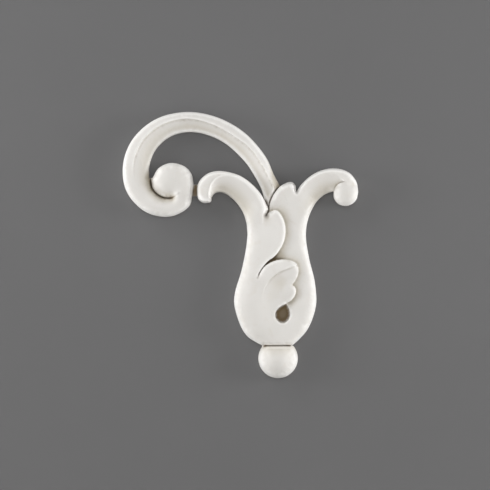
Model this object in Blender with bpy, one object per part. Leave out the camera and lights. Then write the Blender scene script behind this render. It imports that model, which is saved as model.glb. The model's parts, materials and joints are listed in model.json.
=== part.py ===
"""Cast scroll-and-leaf relief ornament: one piece with a flat back, modelled from a photograph."""
import math

import bpy
import numpy as np
from mathutils.geometry import delaunay_2d_cdt

# Main sizes in metres; the drawing below has its own units, which the height turns into metres
HEIGHT = 0.400
DRAWING_HEIGHT = 267.0
UNIT = HEIGHT / DRAWING_HEIGHT
RELIEF_DEPTH = 0.031

# Body: height of its edge, rounded edge and the slope above it, foot and shallow dish
BODY_EDGE = 0.012
BODY_ROUNDING = 0.0135
BODY_SLOPE = 0.0405
SLOPE_SHARE = 0.48
FOOT_DROP = 0.006
FOOT_ROUNDING = 0.006
DISH_DEPTH = 0.0065
DISH_CENTRE = (1.0, -3.0)
DISH_SPREAD = (17.0, 30.0)
DISH_FLATNESS = 1.3
WAIST = 60.0
ARM_ROOT = 98.0
INNER_FROM = 66.0

# Overlapping leaves: the step, its bevelled edge, the channel beside it and the lobe's own hollow
EDGE_BEVEL = 0.0036
EDGE_DROP = 0.0030
FOOT_OF_STEP = 0.0013
CHANNEL_DEPTH = 0.0058
CHANNEL_SPREAD = 9.5
CHANNEL_END = -26.0
LOBE_DISH = 0.0022
LOBE_DISH_INSET = 9.0
LOBE_DISH_SPREAD = 6.0
LOBE_DISH_FROM = (24.0, 50.0)
LOBE_DISH_TO = (92.0, 80.0)
LOBE_DISH_SIDE = (-30.0, -14.0)

# Narrow cleft under the lobe, and the right lobe's edge where it laps over the band
CLEFT_DEPTH = 0.011
CLEFT_WIDTH = 6.5
LAP_EDGE = 0.0235
LAP_TOP = 114.5
LAP_SIDE = 8.0
LAP_FADE = 5.0

# Fan leaf: vein and hollow
VEIN_STEP = 0.0012
VEIN_SPREAD = 3.5
VEIN_RISE = 0.5
VEIN_CUT = 0.0002
CUT_SPREAD = 0.7
VEIN_FADE = (2.0, 26.0)
FAN_HOLLOW = 0.0032
FAN_HOLLOW_CENTRE = (6.5, 19.5)
FAN_HOLLOW_SPREAD = (11.0, 5.5)
FAN_HOLLOW_TILT = 0.34

# Arms: ridge, scooped face and rounded back
ARRIS_DROP = 0.002
ARM_ROUNDING = 0.006
TIP_ROUNDING = 0.0036
INNER_ROUNDING = 0.0016
SCOOP_DEPTH = 0.0125
SCOOP_CURVE = 1.15
SCOOP_FADE = 0.65
SCOOP_FADE_FROM = 46.0
SCOOP_FADE_TO = 66.0
LEFT_BACK_FALL = 0.0035
ARRIS_CUT = 0.0016
ARRIS_CUT_FADE = (-38.0, -58.0)
RIGHT_BACK_FALL = 0.0028
BACK_WIDTH = 9.0
LEFT_ROOT = (-22.0, 72.0)
LEFT_WAY = (-0.6, 0.8)
LEFT_FADE = (-4.0, 24.0)
RIGHT_ROOT = (27.0, 100.0)
RIGHT_WAY = (0.75, 0.65)
RIGHT_FADE = (-20.0, 12.0)
MIDDLE = (-5.0, -12.0)
RIGHT_SIDE = (19.0, 22.0)

# Curl at the end of the right arm
CURL_CENTRE = (68.6, 106.8)
CURL_RADIUS = 13.3
CURL_CUT = 0.0010
CURL_WRAP = (100.0, 122.0)
CURL_TILT = 0.3
CURL_START = 50.0
BLEND = 0.003

# Teardrop recess
EYE_FLOOR = 0.012
EYE_WALL = 0.0024
EYE_LIP = 0.0008
EYE_LIP_SPREAD = 1.6

# Scroll band, its moulding and its volute
SCROLL_EDGE = 0.011
SCROLL_RISE = 0.026
SCROLL_ROUNDING = 0.0024
RIM_FALL = 0.0048
TAIL_FALL = 0.006
TAIL_FALL_FROM = (134.0, 114.0)
RIM_CURVE = 1.6
GROOVE_STEP = 0.0018
GROOVE_CUT = 0.0013
CAVETTO_DEPTH = 0.0095
CAVETTO_CURVE = 1.5
ROLL_RISE = 0.024
ROLL_ROUNDING = 0.0127
ROLL_FROM = 0.60
ROLL_TO = 0.74
DOME_SLOPE = 0.030
DOME_UP = (88.0, 116.0)
DOME_FULL = (-104.0, -94.0)
DOME_ROLL = (-110.0, -92.0)
EYE_SIDE = (-92.0, -104.0)
CREVICE_FLOOR = 0.007
CREVICE_ROUNDING = 0.0105
CREVICE_CLOSING = 8.0
CREVICE_TAPER = 13.0
CREVICE_SINK = 0.006
CREVICE_REACH = 9.0
CREVICE_SINK_FROM = 24.0
TAIL_HEIGHT = 0.009
TAIL_REACH = 1.8
TAIL_TOP = 130.0
TAIL_LEFT = -25.0

# Seam under the bulb, the half ball below it and the neck behind it
SEAM = -45.7
SEAM_GAP = 0.8
BALL_RADIUS = 0.0297
BALL_DROP = 0.0189
BALL_OFFSET = 0.7
BALL_EDGE = 0.003
BALL_CUT_ROUNDING = 0.0024
BALL_CUT_DROP = 0.003
NECK_HEIGHT = 0.012
NECK_OVERLAP = 2.0

# Web between the volute and the leaf tip
WEB_HEIGHT = 0.005
WEB = ((-88.0, 104.5), (-78.0, 104.5), (-78.0, 116.0), (-88.0, 116.0))

# Fineness of the surface, in drawing units
CURVE_STEP = 3.5
LONGEST_EDGE = 5.0
FIELD_STEP = 4.8
EDGE_ROWS = 4
EDGE_REACH = 8.0
STEP_ROWS = (0.5, 2.4)
ON_LINE = 0.03
ROW_PITCH = 0.87

# Colour of the cast surface
SURFACE_COLOUR = (0.76, 0.735, 0.685, 1.0)
SURFACE_ROUGHNESS = 0.6
SHARP_ANGLE = 0.9

# Outlines and feature lines, measured in drawing units from the fixing point behind the bulb
NECK_LEFT = (-15.5, SEAM + SEAM_GAP)
NECK_RIGHT = (15.0, SEAM + SEAM_GAP)
SCROLL_OUTER = ((9, 100), (2.2, 115), (-3.6, 126), (-11.8, 143.7), (-33.7, 168.5), (-62.9, 184.2),
                (-92.6, 188.6), (-122.6, 181), (-145.6, 160.4), (-154.7, 135), (-151, 109),
                (-132, 88.6), (-107.6, 84), (-88.5, 94.3), (-85, 107))
WHORL = ((-85, 107), (-84.2, 117.5), (-86.6, 127.4), (-92.8, 134), (-105.6, 137.7), (-113, 136),
         (-119.7, 131.8), (-125.2, 122.8))
SCROLL_INNER = ((-11.8, 83.5), (-12.6, 97), (-16, 111), (-23.8, 126), (-33, 139.4), (-56, 159.6),
                (-83.3, 168.6), (-105.7, 165), (-122.4, 150.7), (-128.6, 133.1), (-128.4, 122.8))
CREVICE = ((-126.8, 122.8), (-126.6, 118), (-125, 112), (-120.5, 106.7), (-114, 103.2), (-107, 102.6),
           (-101.5, 104.5), (-98.4, 107.7))
GROOVE = ((-1.8, 104), (-4.5, 115), (-8.7, 123), (-14.5, 134.2), (-27.4, 152), (-45, 165), (-62, 174.7),
          (-82, 180.7), (-97, 181), (-117, 174.7), (-132, 163), (-142, 145), (-144.5, 130),
          (-142.5, 117), (-137, 105))
LEFT_TOP = ((-11.3, 85), (-9.8, 88.5), (-9.8, 93.2), (-18.5, 109.1), (-36.9, 124.5), (-59.9, 129.6),
            (-71.2, 126.1), (-79.2, 117.6), (-80.3, 105.8), (-78.8, 100.7), (-73.9, 97.7), (-68.1, 98))
LEFT_TIP = ((-68.1, 98), (-66.4, 99.2), (-66, 103.2))
LEFT_INNER = ((-66, 103.2), (-62.2, 107.6), (-56.5, 108.4), (-51, 106.4), (-42, 98.8), (-35.1, 89.2),
              (-31.2, 78), (-30, 66.1))
BODY_LEFT = ((-30, 66.1), (-31.2, 54.1), (-35.8, 30.7), (-42.5, 7.8), (-43.2, -4.2), (-36.3, -26.8),
             (-29.6, -36.4), (-20.6, -42.3), NECK_LEFT)
BODY_RIGHT = (NECK_RIGHT, (23.6, -37), (31.2, -27.1), (38.6, -4.7), (37.3, 19.1), (31.7, 42.2),
              (28.5, 65.9), (31.4, 83.6), (39.7, 99.3), (48.8, 106.8), (56.4, 109.2))
BODY_BOTTOM = (NECK_LEFT, (-7, -49), (0, -50.2), (7, -49), NECK_RIGHT)
CURL_OUTLINE = ((56.4, 109.2), (56.7, 102.4), (61.1, 96.7), (68.2, 94.6), (74.3, 96.4), (78.7, 101.1),
                (80.5, 108.6))
RIGHT_TOP = ((80.5, 108.6), (79.4, 117.6), (73.4, 126.5), (64.4, 131.1), (53.2, 132.1), (41.2, 129.2),
             (30.6, 122.6), (22.5, 114.4), (19.3, 109.4))
RIGHT_LOBE = ((18.9, 110), (18.1, 114.9), (14.7, 118.5), (8.2, 117.5), (0.8, 112.2), (-5, 103.5),
              (-7.8, 95.7), (-8.2, 89.4))
LEFT_ARRIS = ((-66.1, 98.6), (-68.4, 104.5), (-67.9, 111), (-65.6, 117.4), (-61, 122.2), (-54.5, 124.8),
              (-47, 125), (-39, 122), (-29, 115), (-19.5, 103.5), (-14.5, 91), (-15, 78))
RIGHT_ARRIS = ((19.5, 104), (24.3, 112.8), (31.5, 119.8), (40, 125), (48, 127.4), (56, 126.8),
               (62.5, 123.8), (66.3, 118.4))
CURL_LINE = ((56.4, 109.2), (57.5, 112.8), (61, 116.7), (66.3, 118.4))
LOBE_EDGE = ((-11.3, 85), (-8.5, 87.7), (-1.7, 90.1), (3.5, 85.5), (7.3, 75.5), (7.3, 64), (3.4, 53),
             (-4, 43.3), (-8.7, 40.2), (-13.2, 35.4), (-18.3, 27.8), (-19.7, 23.2))
FAN_TOP = ((-19.7, 23.2), (-15.2, 31.6), (-12.6, 34.5), (-5.3, 38.9), (4.7, 41.1), (14.7, 39.4),
           (19.2, 36.6))
FAN_RIGHT = ((19.2, 36.6), (20.7, 31.5), (20.2, 26), (17.8, 20.6), (14.2, 15.6))
FAN_LOBE = ((14.2, 15.6), (17.3, 13), (18.1, 8.5), (16, 3.2), (12.2, -0.6), (8.6, -2.6))
EYE = ((8.6, -2.6), (3.3, -5), (-1.4, -9.2), (-3, -14.8), (-0.6, -20.2), (5, -22.8), (10.4, -20.2),
       (12.8, -14.2), (11.8, -8), (8.6, -2.6))
VEIN = ((19.6, 35.4), (10, 32.1), (1.4, 28.4), (-6, 22.8), (-11.1, 15.8), (-14.4, 9), (-15.6, 2))


def ease(start, end, value):
    """Smooth change from 0 at the start to 1 at the end."""
    t = np.clip((value - start) / (end - start), 0, 1)
    return t * t * (3 - 2 * t)


def shoulder(distance, width):
    """Quarter round: 0 at the edge, 1 at the width in metres and beyond."""
    t = 1 - np.clip(distance * UNIT / width, 0, 1)
    return np.sqrt(np.maximum(0, 1 - t * t))


def swell(distance, width, slope):
    """Rounded edge that goes on rising gently toward the middle, from 0 to 1."""
    t = 1 - np.clip(distance * UNIT / slope, 0, 1)
    return shoulder(distance, width) * (1 - SLOPE_SHARE) + (1 - t * t) * SLOPE_SHARE


def soft_max(a, b):
    """Higher of two heights with the crease between them filled."""
    return (a + b + np.sqrt((a - b) ** 2 + BLEND**2) - BLEND) / 2


def bump(distance, spread):
    """Soft hill of height 1."""
    return np.exp(-(distance / spread) ** 2)


def spline(points, step=CURVE_STEP):
    """Smooth curve through the points, parted evenly by about the step."""
    p = np.asarray(points, float)
    p = np.vstack([2 * p[0] - p[1], p, 2 * p[-1] - p[-2]])
    runs = []
    for a, b, c, d in zip(p[:-3], p[1:-2], p[2:-1], p[3:]):
        ta, tb, tc = (np.linalg.norm(v) ** 0.5 for v in (b - a, c - b, d - c))
        out = tb * ((b - a) / ta - (c - a) / (ta + tb) + (c - b) / tb)
        back = tb * ((c - b) / tb - (d - b) / (tb + tc) + (d - c) / tc)
        n = max(1, round(float(tb * tb) / step))
        t = np.linspace(0, 1, n, endpoint=False)[:, None]
        near_end = (2 * t**3 - 3 * t**2 + 1) * b + (t**3 - 2 * t**2 + t) * out
        runs.append(near_end + (3 * t**2 - 2 * t**3) * c + (t**3 - t**2) * back)
    return np.vstack(runs + [p[-2:-1]])


def join(*lines):
    """One line out of several laid end to end."""
    parts = [np.asarray(line, float) for line in lines]
    rest = [q[1:] if np.allclose(q[0], p[-1]) else q for p, q in zip(parts, parts[1:])]
    return np.vstack(parts[:1] + rest)


def closed(line):
    return np.vstack([line, line[:1]])


def sampled(line, gap):
    """Points along a line no further apart than the gap."""
    runs = []
    for a, b in zip(line[:-1], line[1:]):
        n = max(1, math.ceil(float(np.hypot(*(b - a))) / gap))
        runs.append(a + (b - a) * np.linspace(0, 1, n, endpoint=False)[:, None])
    return np.vstack(runs + [line[-1:]])


def near(points, line):
    """Distance of each point from the line, and the share of the line's length at the nearest place."""
    best = np.full(len(points), 1e9)
    along = np.zeros(len(points))
    run = 0.0
    for a, b in zip(line[:-1], line[1:]):
        edge = b - a
        length = float(np.hypot(*edge))
        if length < 1e-9:
            continue
        t = np.clip(((points - a) @ edge) / length**2, 0, 1)
        gap = np.hypot(*(points - a - t[:, None] * edge).T)
        closer = gap < best
        best[closer] = gap[closer]
        along[closer] = run + t[closer] * length
        run += length
    return best, along / run


def share(to_one, to_other):
    """How far across from one line to the other, from 0 to 1."""
    return to_one / (to_one + to_other + 1e-9)


def apart(points, place):
    """Distance of each point from one place."""
    return np.hypot(*(points - np.array(place)).T)


def within(points, loop):
    """True for points inside the closed loop."""
    x, z = points.T
    inside = np.zeros(len(points), bool)
    ring = closed(loop)
    for (ax, az), (bx, bz) in zip(ring[:-1], ring[1:]):
        if az != bz:
            inside ^= ((az > z) != (bz > z)) & (x < (bx - ax) * (z - az) / (bz - az) + ax)
    return inside


def ball_place():
    """Centre and radius of the half ball, in drawing units."""
    return np.array([BALL_OFFSET, SEAM - BALL_DROP / UNIT]), BALL_RADIUS / UNIT


def drawing(step):
    """Every outline, feature line and region of the ornament."""
    d = {
        "outer": spline(SCROLL_OUTER, step),
        "whorl": spline(WHORL, step),
        "inner": spline(SCROLL_INNER, step),
        "crevice": spline(CREVICE, step),
        "groove": spline(GROOVE, step),
        "left_arris": spline(LEFT_ARRIS, step),
        "right_arris": spline(RIGHT_ARRIS, step),
        "curl_line": spline(CURL_LINE, step),
        "lobe_edge": spline(LOBE_EDGE, step),
        "eye": spline(EYE, step),
        "vein": spline(VEIN, step),
        "web": np.array(WEB),
    }
    low, high = SEAM - NECK_OVERLAP, SEAM + SEAM_GAP + NECK_OVERLAP
    left, right = NECK_LEFT[0], NECK_RIGHT[0]
    d["neck"] = np.array([(left, low), (right, low), (right, high), (left, high)])
    left_inner = spline(LEFT_INNER, step)
    left_tip = spline(LEFT_TIP, step)
    body_right = spline(BODY_RIGHT, step)
    d["left_inner"] = join(left_tip[1:], left_inner)
    d["right_inner"] = body_right[body_right[:, 1] > INNER_FROM]
    d["fan"] = join(spline(FAN_TOP, step), spline(FAN_RIGHT, step), spline(FAN_LOBE, step))
    right_end = [spline(part, step) for part in (CURL_OUTLINE, RIGHT_TOP, RIGHT_LOBE)]
    left_side = join(spline(LEFT_TOP, step), left_tip, left_inner, spline(BODY_LEFT, step))
    d["body"] = join(left_side, body_right, *right_end)
    d["scroll"] = join(d["outer"], d["whorl"], d["inner"][::-1])
    d["body_side"] = join(spline(BODY_BOTTOM, step)[::-1], body_right, *right_end, left_side)
    centre, radius = ball_place()
    start = np.arcsin((SEAM - centre[1]) / radius)
    sweep = np.pi + 2 * start
    turn = np.pi - start + sweep * np.linspace(0, 1, round(sweep * radius / step) + 1)
    d["ball"] = centre + radius * np.column_stack([np.cos(turn), np.sin(turn)])
    d["edge"] = join(d["lobe_edge"], d["fan"])
    lobe = right_end[-1]
    d["lap_line"] = lobe[(lobe[:, 0] < LAP_SIDE) & (lobe[:, 1] < LAP_TOP)]
    d["step_line"] = join(d["edge"], d["eye"][len(d["eye"]) * 6 // 10:][::-1])
    d["lower"] = join(d["edge"], [(6, -9), (5, -23)], [(143, -23), (143, 150), (-2, 150), (-8.5, 94)])
    d["rim_area"] = join(d["outer"], [(-127, 100)], d["groove"][::-1])
    d["whorl_area"] = join(d["crevice"], [(-72, 115), (-72, 150), (-117, 150), (-125.8, 134)])
    d["left_area"] = join(d["left_arris"], [(-15, 60), (-30, 60)], left_inner[::-1], left_tip[::-1])
    right_side = join(d["right_arris"], d["curl_line"][::-1], d["right_inner"][::-1])
    d["right_area"] = join(right_side, [(28, 60), (19, 60)])
    d["under_vein"] = join(d["vein"], [(-15, -3), (9, -3)], d["fan"][::-1][: len(d["fan"]) // 2])
    return d


def scroll_height(d, p):
    """Scroll band: sloping rim, groove and hollow moulding, turning into a plain roll round a domed eye."""
    to_outer, along = near(p, d["outer"])
    to_inner, _ = near(p, d["inner"])
    to_crevice, _ = near(p, d["crevice"])
    to_whorl, _ = near(p, d["whorl"])
    to_groove, _ = near(p, d["groove"])
    inner = np.minimum(to_inner, to_crevice)
    on_rim = within(p, d["rim_area"]) | (to_groove < ON_LINE)
    x, z = p.T
    rim_fall = RIM_FALL + TAIL_FALL * ease(*TAIL_FALL_FROM, z) * (x > TAIL_LEFT)
    rim = SCROLL_RISE - rim_fall * (1 - share(to_outer, to_groove)) ** RIM_CURVE
    fall = 1 - (1 - share(to_groove, inner)) ** CAVETTO_CURVE
    hollow = SCROLL_RISE - GROOVE_STEP - CAVETTO_DEPTH * fall
    band = np.where(on_rim, rim, hollow - GROOVE_CUT * bump(to_groove - CUT_SPREAD, CUT_SPREAD))
    band = SCROLL_EDGE + (band - SCROLL_EDGE) * shoulder(np.minimum(to_outer, inner), SCROLL_ROUNDING)
    open_edge = np.minimum(to_outer, np.minimum(to_whorl, to_inner))
    in_whorl = within(p, d["whorl_area"])
    up = ease(*DOME_UP, z)
    domed = np.where(in_whorl, 1 - (1 - up) * ease(*DOME_FULL, x), up * ease(*DOME_ROLL, x))
    rise = ROLL_RISE + (RELIEF_DEPTH - ROLL_RISE) * domed
    plain = shoulder(open_edge, ROLL_ROUNDING)
    outside = plain + (swell(open_edge, ROLL_ROUNDING, DOME_SLOPE) - plain) * domed
    closing = to_crevice + CREVICE_CLOSING * ease(CREVICE_TAPER, 0, apart(p, CREVICE[-1])) ** 2
    beside_crevice = shoulder(closing, CREVICE_ROUNDING)
    inward = in_whorl * ease(*EYE_SIDE, x)
    beside_crevice += (swell(closing, ROLL_ROUNDING, DOME_SLOPE) - beside_crevice) * inward
    roll = SCROLL_EDGE + (rise - SCROLL_EDGE) * outside
    roll = np.minimum(roll, CREVICE_FLOOR + (rise - CREVICE_FLOOR) * beside_crevice)
    turn = np.where(in_whorl, 1.0, ease(ROLL_FROM, ROLL_TO, along))
    sink = ease(CREVICE_REACH, 0, to_crevice) * ease(0, CREVICE_SINK_FROM, apart(p, CREVICE[-1])) * ~in_whorl
    height = band * (1 - turn) + roll * turn - CREVICE_SINK * sink
    to_leaves = np.where(within(p, d["body_side"]), 0, near(p, closed(d["body_side"]))[0])
    dive = ease(TAIL_REACH, 0, to_leaves) * (x > TAIL_LEFT) * (z < TAIL_TOP)
    return height - (height - TAIL_HEIGHT) * dive


def arm_height(p, arris, inner, area, depth, fall):
    """Scooped arm: a ridge, a hollow between it and the inner edge and a rounded back outside it."""
    to_arris, _ = near(p, arris)
    to_inner, _ = near(p, inner)
    inside = within(p, area) | (to_arris < ON_LINE)
    scoop = depth * share(to_arris, to_inner) ** SCOOP_CURVE
    back = fall * (to_arris / BACK_WIDTH) ** 2
    return RELIEF_DEPTH - ARRIS_DROP - np.where(inside, scoop, back), inside


def body_height(d, p):
    """Pear-shaped body with its two leaves, the folded fan leaf, the arms and the teardrop recess."""
    x, z = p.T
    to_side, _ = near(p, closed(d["body_side"]))
    up_arm = ease(WAIST, ARM_ROOT, z)
    width = BODY_ROUNDING + (ARM_ROUNDING - BODY_ROUNDING) * up_arm
    slope = BODY_SLOPE + (ARM_ROUNDING - BODY_SLOPE) * up_arm
    rise = RELIEF_DEPTH - ARRIS_DROP * up_arm
    edge = BODY_EDGE + (LAP_EDGE - BODY_EDGE) * ease(LAP_FADE, 0, near(p, d["lap_line"])[0])
    base = edge + (rise - edge) * swell(to_side, width, slope)
    at_foot = (x > NECK_LEFT[0]) & (x < NECK_RIGHT[0])
    base = base - FOOT_DROP * (1 - shoulder(z - NECK_LEFT[1], FOOT_ROUNDING)) * at_foot
    dish_x, dish_z = (x - DISH_CENTRE[0]) / DISH_SPREAD[0], (z - DISH_CENTRE[1]) / DISH_SPREAD[1]
    base = base - DISH_DEPTH * np.exp(-((dish_x**2 + dish_z**2) ** DISH_FLATNESS))

    to_edge, _ = near(p, d["edge"])
    to_lobe, _ = near(p, d["lobe_edge"])
    lower = within(p, d["lower"]) & (to_edge > ON_LINE)
    lobe = LOBE_DISH * bump(to_lobe - LOBE_DISH_INSET, LOBE_DISH_SPREAD)
    lobe = lobe * ease(*LOBE_DISH_FROM, z) * ease(*LOBE_DISH_TO, z) * ease(*LOBE_DISH_SIDE, x)
    upper = base - lobe - EDGE_DROP * np.clip(1 - to_edge * UNIT / EDGE_BEVEL, 0, 1)
    to_vein, _ = near(p, d["vein"])
    under = within(p, d["under_vein"]) & (to_vein > ON_LINE)
    fade = ease(*VEIN_FADE, z)
    hx, hz = x - FAN_HOLLOW_CENTRE[0], z - FAN_HOLLOW_CENTRE[1]
    cross = (hx + hz * FAN_HOLLOW_TILT) / FAN_HOLLOW_SPREAD[0]
    up = (hz - hx * FAN_HOLLOW_TILT) / FAN_HOLLOW_SPREAD[1]
    upper = upper - FAN_HOLLOW * np.exp(-(cross**2 + up**2))
    fold = np.where(under, -np.exp(-to_vein / VEIN_SPREAD), VEIN_RISE * bump(to_vein, VEIN_SPREAD))
    upper = upper + fade * (VEIN_STEP * fold - VEIN_CUT * bump(to_vein, CUT_SPREAD))

    to_step, _ = near(p, d["step_line"])
    keep = ease(CHANNEL_END, 0, z)
    channel = CHANNEL_DEPTH * bump(to_step, CHANNEL_SPREAD) + FOOT_OF_STEP
    channel = channel + CLEFT_DEPTH * bump(to_lobe + near(p, d["fan"])[0], CLEFT_WIDTH)
    height = np.where(lower, base - channel * keep, upper)

    left = ease(*LEFT_FADE, (p - LEFT_ROOT) @ LEFT_WAY) * ease(*MIDDLE, x)
    lines = (d["left_arris"], d["left_inner"], d["left_area"])
    arm, inside = arm_height(p, *lines, SCOOP_DEPTH * left, LEFT_BACK_FALL * left)
    cut = ARRIS_CUT * np.exp(-near(p, d["left_arris"])[0] / VEIN_SPREAD)
    arm = arm - cut * ease(*ARRIS_CUT_FADE, x) * ~inside
    rounding = np.where(inside, INNER_ROUNDING, TIP_ROUNDING)
    arm = BODY_EDGE + (arm - BODY_EDGE) * shoulder(to_side, rounding + ARM_ROUNDING * (1 - left))
    height = height * (1 - left) + arm * left

    right = ease(*RIGHT_FADE, (p - RIGHT_ROOT) @ RIGHT_WAY) * ease(*RIGHT_SIDE, x) * (z > WAIST)
    inner = join(d["right_inner"], d["curl_line"][1:])
    depth = SCOOP_DEPTH * right * (1 - SCOOP_FADE * ease(SCOOP_FADE_FROM, SCOOP_FADE_TO, x))
    arm, inside = arm_height(p, d["right_arris"], inner, d["right_area"], depth, RIGHT_BACK_FALL * right)
    rounding = np.where(inside, INNER_ROUNDING, TIP_ROUNDING)
    arm = BODY_EDGE + (arm - BODY_EDGE) * shoulder(to_side, rounding + ARM_ROUNDING * (1 - right))
    wrap = np.where(inside | (x < CURL_START), 1, ease(*CURL_WRAP, z - (x - CURL_CENTRE[0]) * CURL_TILT))
    out = apart(p, CURL_CENTRE) / CURL_RADIUS
    curl = (RELIEF_DEPTH - BODY_EDGE) * np.sqrt(np.clip(1 - out**2, 0, 1))
    arm = BODY_EDGE + soft_max((arm - BODY_EDGE) * wrap, curl)
    to_curl, _ = near(p, d["curl_line"])
    arm = arm - CURL_CUT * bump(to_curl, CUT_SPREAD)
    height = height * (1 - right) + arm * right

    to_eye, _ = near(p, d["eye"])
    height = height + EYE_LIP * bump(to_eye, EYE_LIP_SPREAD)
    sunk = height - (height - EYE_FLOOR) * ease(0.0, EYE_WALL, to_eye * UNIT)
    return np.where(within(p, d["eye"]), sunk, height)


def ball_height(d, p):
    """Half ball under the bulb, flat where it meets the seam."""
    centre, radius = ball_place()
    round_share = np.sqrt(np.clip(1 - (apart(p, centre) / radius) ** 2, 0, 1))
    cut = BALL_CUT_DROP * (1 - shoulder(SEAM - p[:, 1], BALL_CUT_ROUNDING)) * (round_share > 0)
    return BALL_EDGE + (RELIEF_DEPTH - BALL_EDGE) * round_share - cut


FORMS = (
    ("scroll", scroll_height),
    ("body", body_height),
    ("ball", ball_height),
    ("neck", lambda d, p: np.full(len(p), NECK_HEIGHT)),
    ("web", lambda d, p: np.full(len(p), WEB_HEIGHT)),
)


def relief(d, p):
    """Height of the ornament off its back in metres, below 0 outside it."""
    height = np.full(len(p), -1.0)
    for name, rule in FORMS:
        here = within(p, d[name]) | (near(p, closed(d[name]))[0] < ON_LINE)
        if here.any():
            height[here] = np.maximum(height[here], rule(d, p[here]))
    return height


def inside_any(d, p):
    """True for points inside one of the outlines."""
    return np.logical_or.reduce([within(p, d[name]) for name, _ in FORMS])


def beside(line, distance):
    """Row of points to the left of a line, where it keeps its distance."""
    ahead = np.gradient(line, axis=0)
    ahead /= np.maximum(np.hypot(*ahead.T), 1e-9)[:, None]
    row = line + distance * np.column_stack([-ahead[:, 1], ahead[:, 0]])
    return row[near(row, line)[0] > abs(distance) * 0.93]


def thin_out(rows, fixed):
    """Points of the rows that stand clear of the fixed lines and of one another."""
    kept, cells = [], {}
    for points, clear_line, clear_point in rows:
        if not len(points):
            continue
        gap = np.min([near(points, line)[0] for line in fixed], axis=0)
        for x, z in points[gap > clear_line]:
            i, k = round(float(x)), round(float(z))
            places = [(a, b) for a in range(i - 3, i + 4) for b in range(k - 3, k + 4)]
            block = [q for place in places for q in cells.get(place, ())]
            if all((x - qx) ** 2 + (z - qz) ** 2 > clear_point**2 for qx, qz in block):
                cells.setdefault((i, k), []).append((x, z))
                kept.append((x, z))
    return kept


def flat_net(d, rows, fixed):
    """Triangles over the drawing that follow every fixed line."""
    coords, edges = [], []
    for line in fixed:
        first = len(coords)
        coords += [tuple(q) for q in line]
        edges += [(i, i + 1) for i in range(first, len(coords) - 1)]
    coords += thin_out(rows, fixed)
    verts, _, faces, *_ = delaunay_2d_cdt(coords, edges, [], 0, 0.02)
    points = np.array([tuple(v) for v in verts])
    faces = np.array([tuple(f) for f in faces])
    middle = points[faces].mean(axis=1)
    return points, faces[inside_any(d, middle)]


def build_rows(d):
    """Rows of points that catch the rounded edges and the steps, then an even field."""
    outlines = [sampled(closed(d[name]), LONGEST_EDGE) for name, _ in FORMS]
    names = ("edge", "groove", "crevice", "eye", "vein", "left_arris", "right_arris", "curl_line")
    steps = [d[name] for name in names]
    fixed = outlines + steps
    rows = []
    for line in steps + outlines:
        for gap in STEP_ROWS:
            for side in (gap, -gap):
                row = beside(line, side)
                rows.append((row[inside_any(d, row)], gap * 0.8, min(gap, CURVE_STEP * 0.45)))
    for line in outlines[:3]:
        for k in range(2, EDGE_ROWS + 1):
            gap = EDGE_REACH * (k / EDGE_ROWS) ** 2
            for side in (gap, -gap):
                row = beside(line, side)
                rows.append((row[inside_any(d, row)], gap * 0.8, CURVE_STEP * 0.55))
    every = np.vstack(outlines)
    low, high = every.min(axis=0), every.max(axis=0)
    row_step = FIELD_STEP * ROW_PITCH
    across, up = np.meshgrid(np.arange(low[0], high[0], FIELD_STEP), np.arange(low[1], high[1], row_step))
    across[1::2] += FIELD_STEP / 2
    field = np.column_stack([across.ravel(), up.ravel()])
    rows.append((field[inside_any(d, field)], FIELD_STEP * 0.4, FIELD_STEP * 0.6))
    return rows, fixed


def solid(d, points, faces):
    """Closed body: the relief in front, walls round it and a flat back."""
    used = np.unique(faces)
    renumber = np.full(len(points), -1)
    renumber[used] = np.arange(len(used))
    points, faces = points[used], renumber[faces]
    height = np.maximum(relief(d, points), WEB_HEIGHT * 0.5)
    one_way = {}
    for a, b, c in faces:
        for edge in ((a, b), (b, c), (c, a)):
            one_way[edge] = True
    border = [(a, b) for a, b in one_way if (b, a) not in one_way]
    rim = sorted({a for a, _ in border})
    behind = {a: len(points) + i for i, a in enumerate(rim)}
    walls = [(b, a, behind[a], behind[b]) for a, b in border]
    index = {a: i for i, a in enumerate(rim)}
    flat = [tuple(points[a]) for a in rim]
    _, _, back, orig, *_ = delaunay_2d_cdt(flat, [(index[a], index[b]) for a, b in border], [], 0, 1e-5)
    back = np.array([tuple(f) for f in back])
    middle = np.array(flat)[back].mean(axis=1)
    back = back[net_cover(points, faces, middle)]
    front = [(x * UNIT, -h, z * UNIT) for (x, z), h in zip(points, height)]
    rear = [(points[a][0] * UNIT, 0.0, points[a][1] * UNIT) for a in rim]
    closing = [tuple(behind[rim[i]] for i in reversed(f)) for f in back]
    return front + rear, [tuple(f) for f in faces] + walls + closing


def net_cover(points, faces, places):
    """True for places that lie on the triangles."""
    a, b, c = (points[faces[:, i]] for i in range(3))
    covered = np.zeros(len(places), bool)
    for n, q in enumerate(places):
        ab = (b[:, 0] - a[:, 0]) * (q[1] - a[:, 1]) - (b[:, 1] - a[:, 1]) * (q[0] - a[:, 0])
        bc = (c[:, 0] - b[:, 0]) * (q[1] - b[:, 1]) - (c[:, 1] - b[:, 1]) * (q[0] - b[:, 0])
        ca = (a[:, 0] - c[:, 0]) * (q[1] - c[:, 1]) - (a[:, 1] - c[:, 1]) * (q[0] - c[:, 0])
        covered[n] = bool(((ab > -1e-7) & (bc > -1e-7) & (ca > -1e-7)).any())
    return covered


def surface_material():
    material = bpy.data.materials.new("cast_surface")
    material.use_nodes = True
    shader = material.node_tree.nodes["Principled BSDF"]
    shader.inputs["Base Color"].default_value = SURFACE_COLOUR
    shader.inputs["Roughness"].default_value = SURFACE_ROUGHNESS
    shader.inputs["Metallic"].default_value = 0.0
    return material


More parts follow.
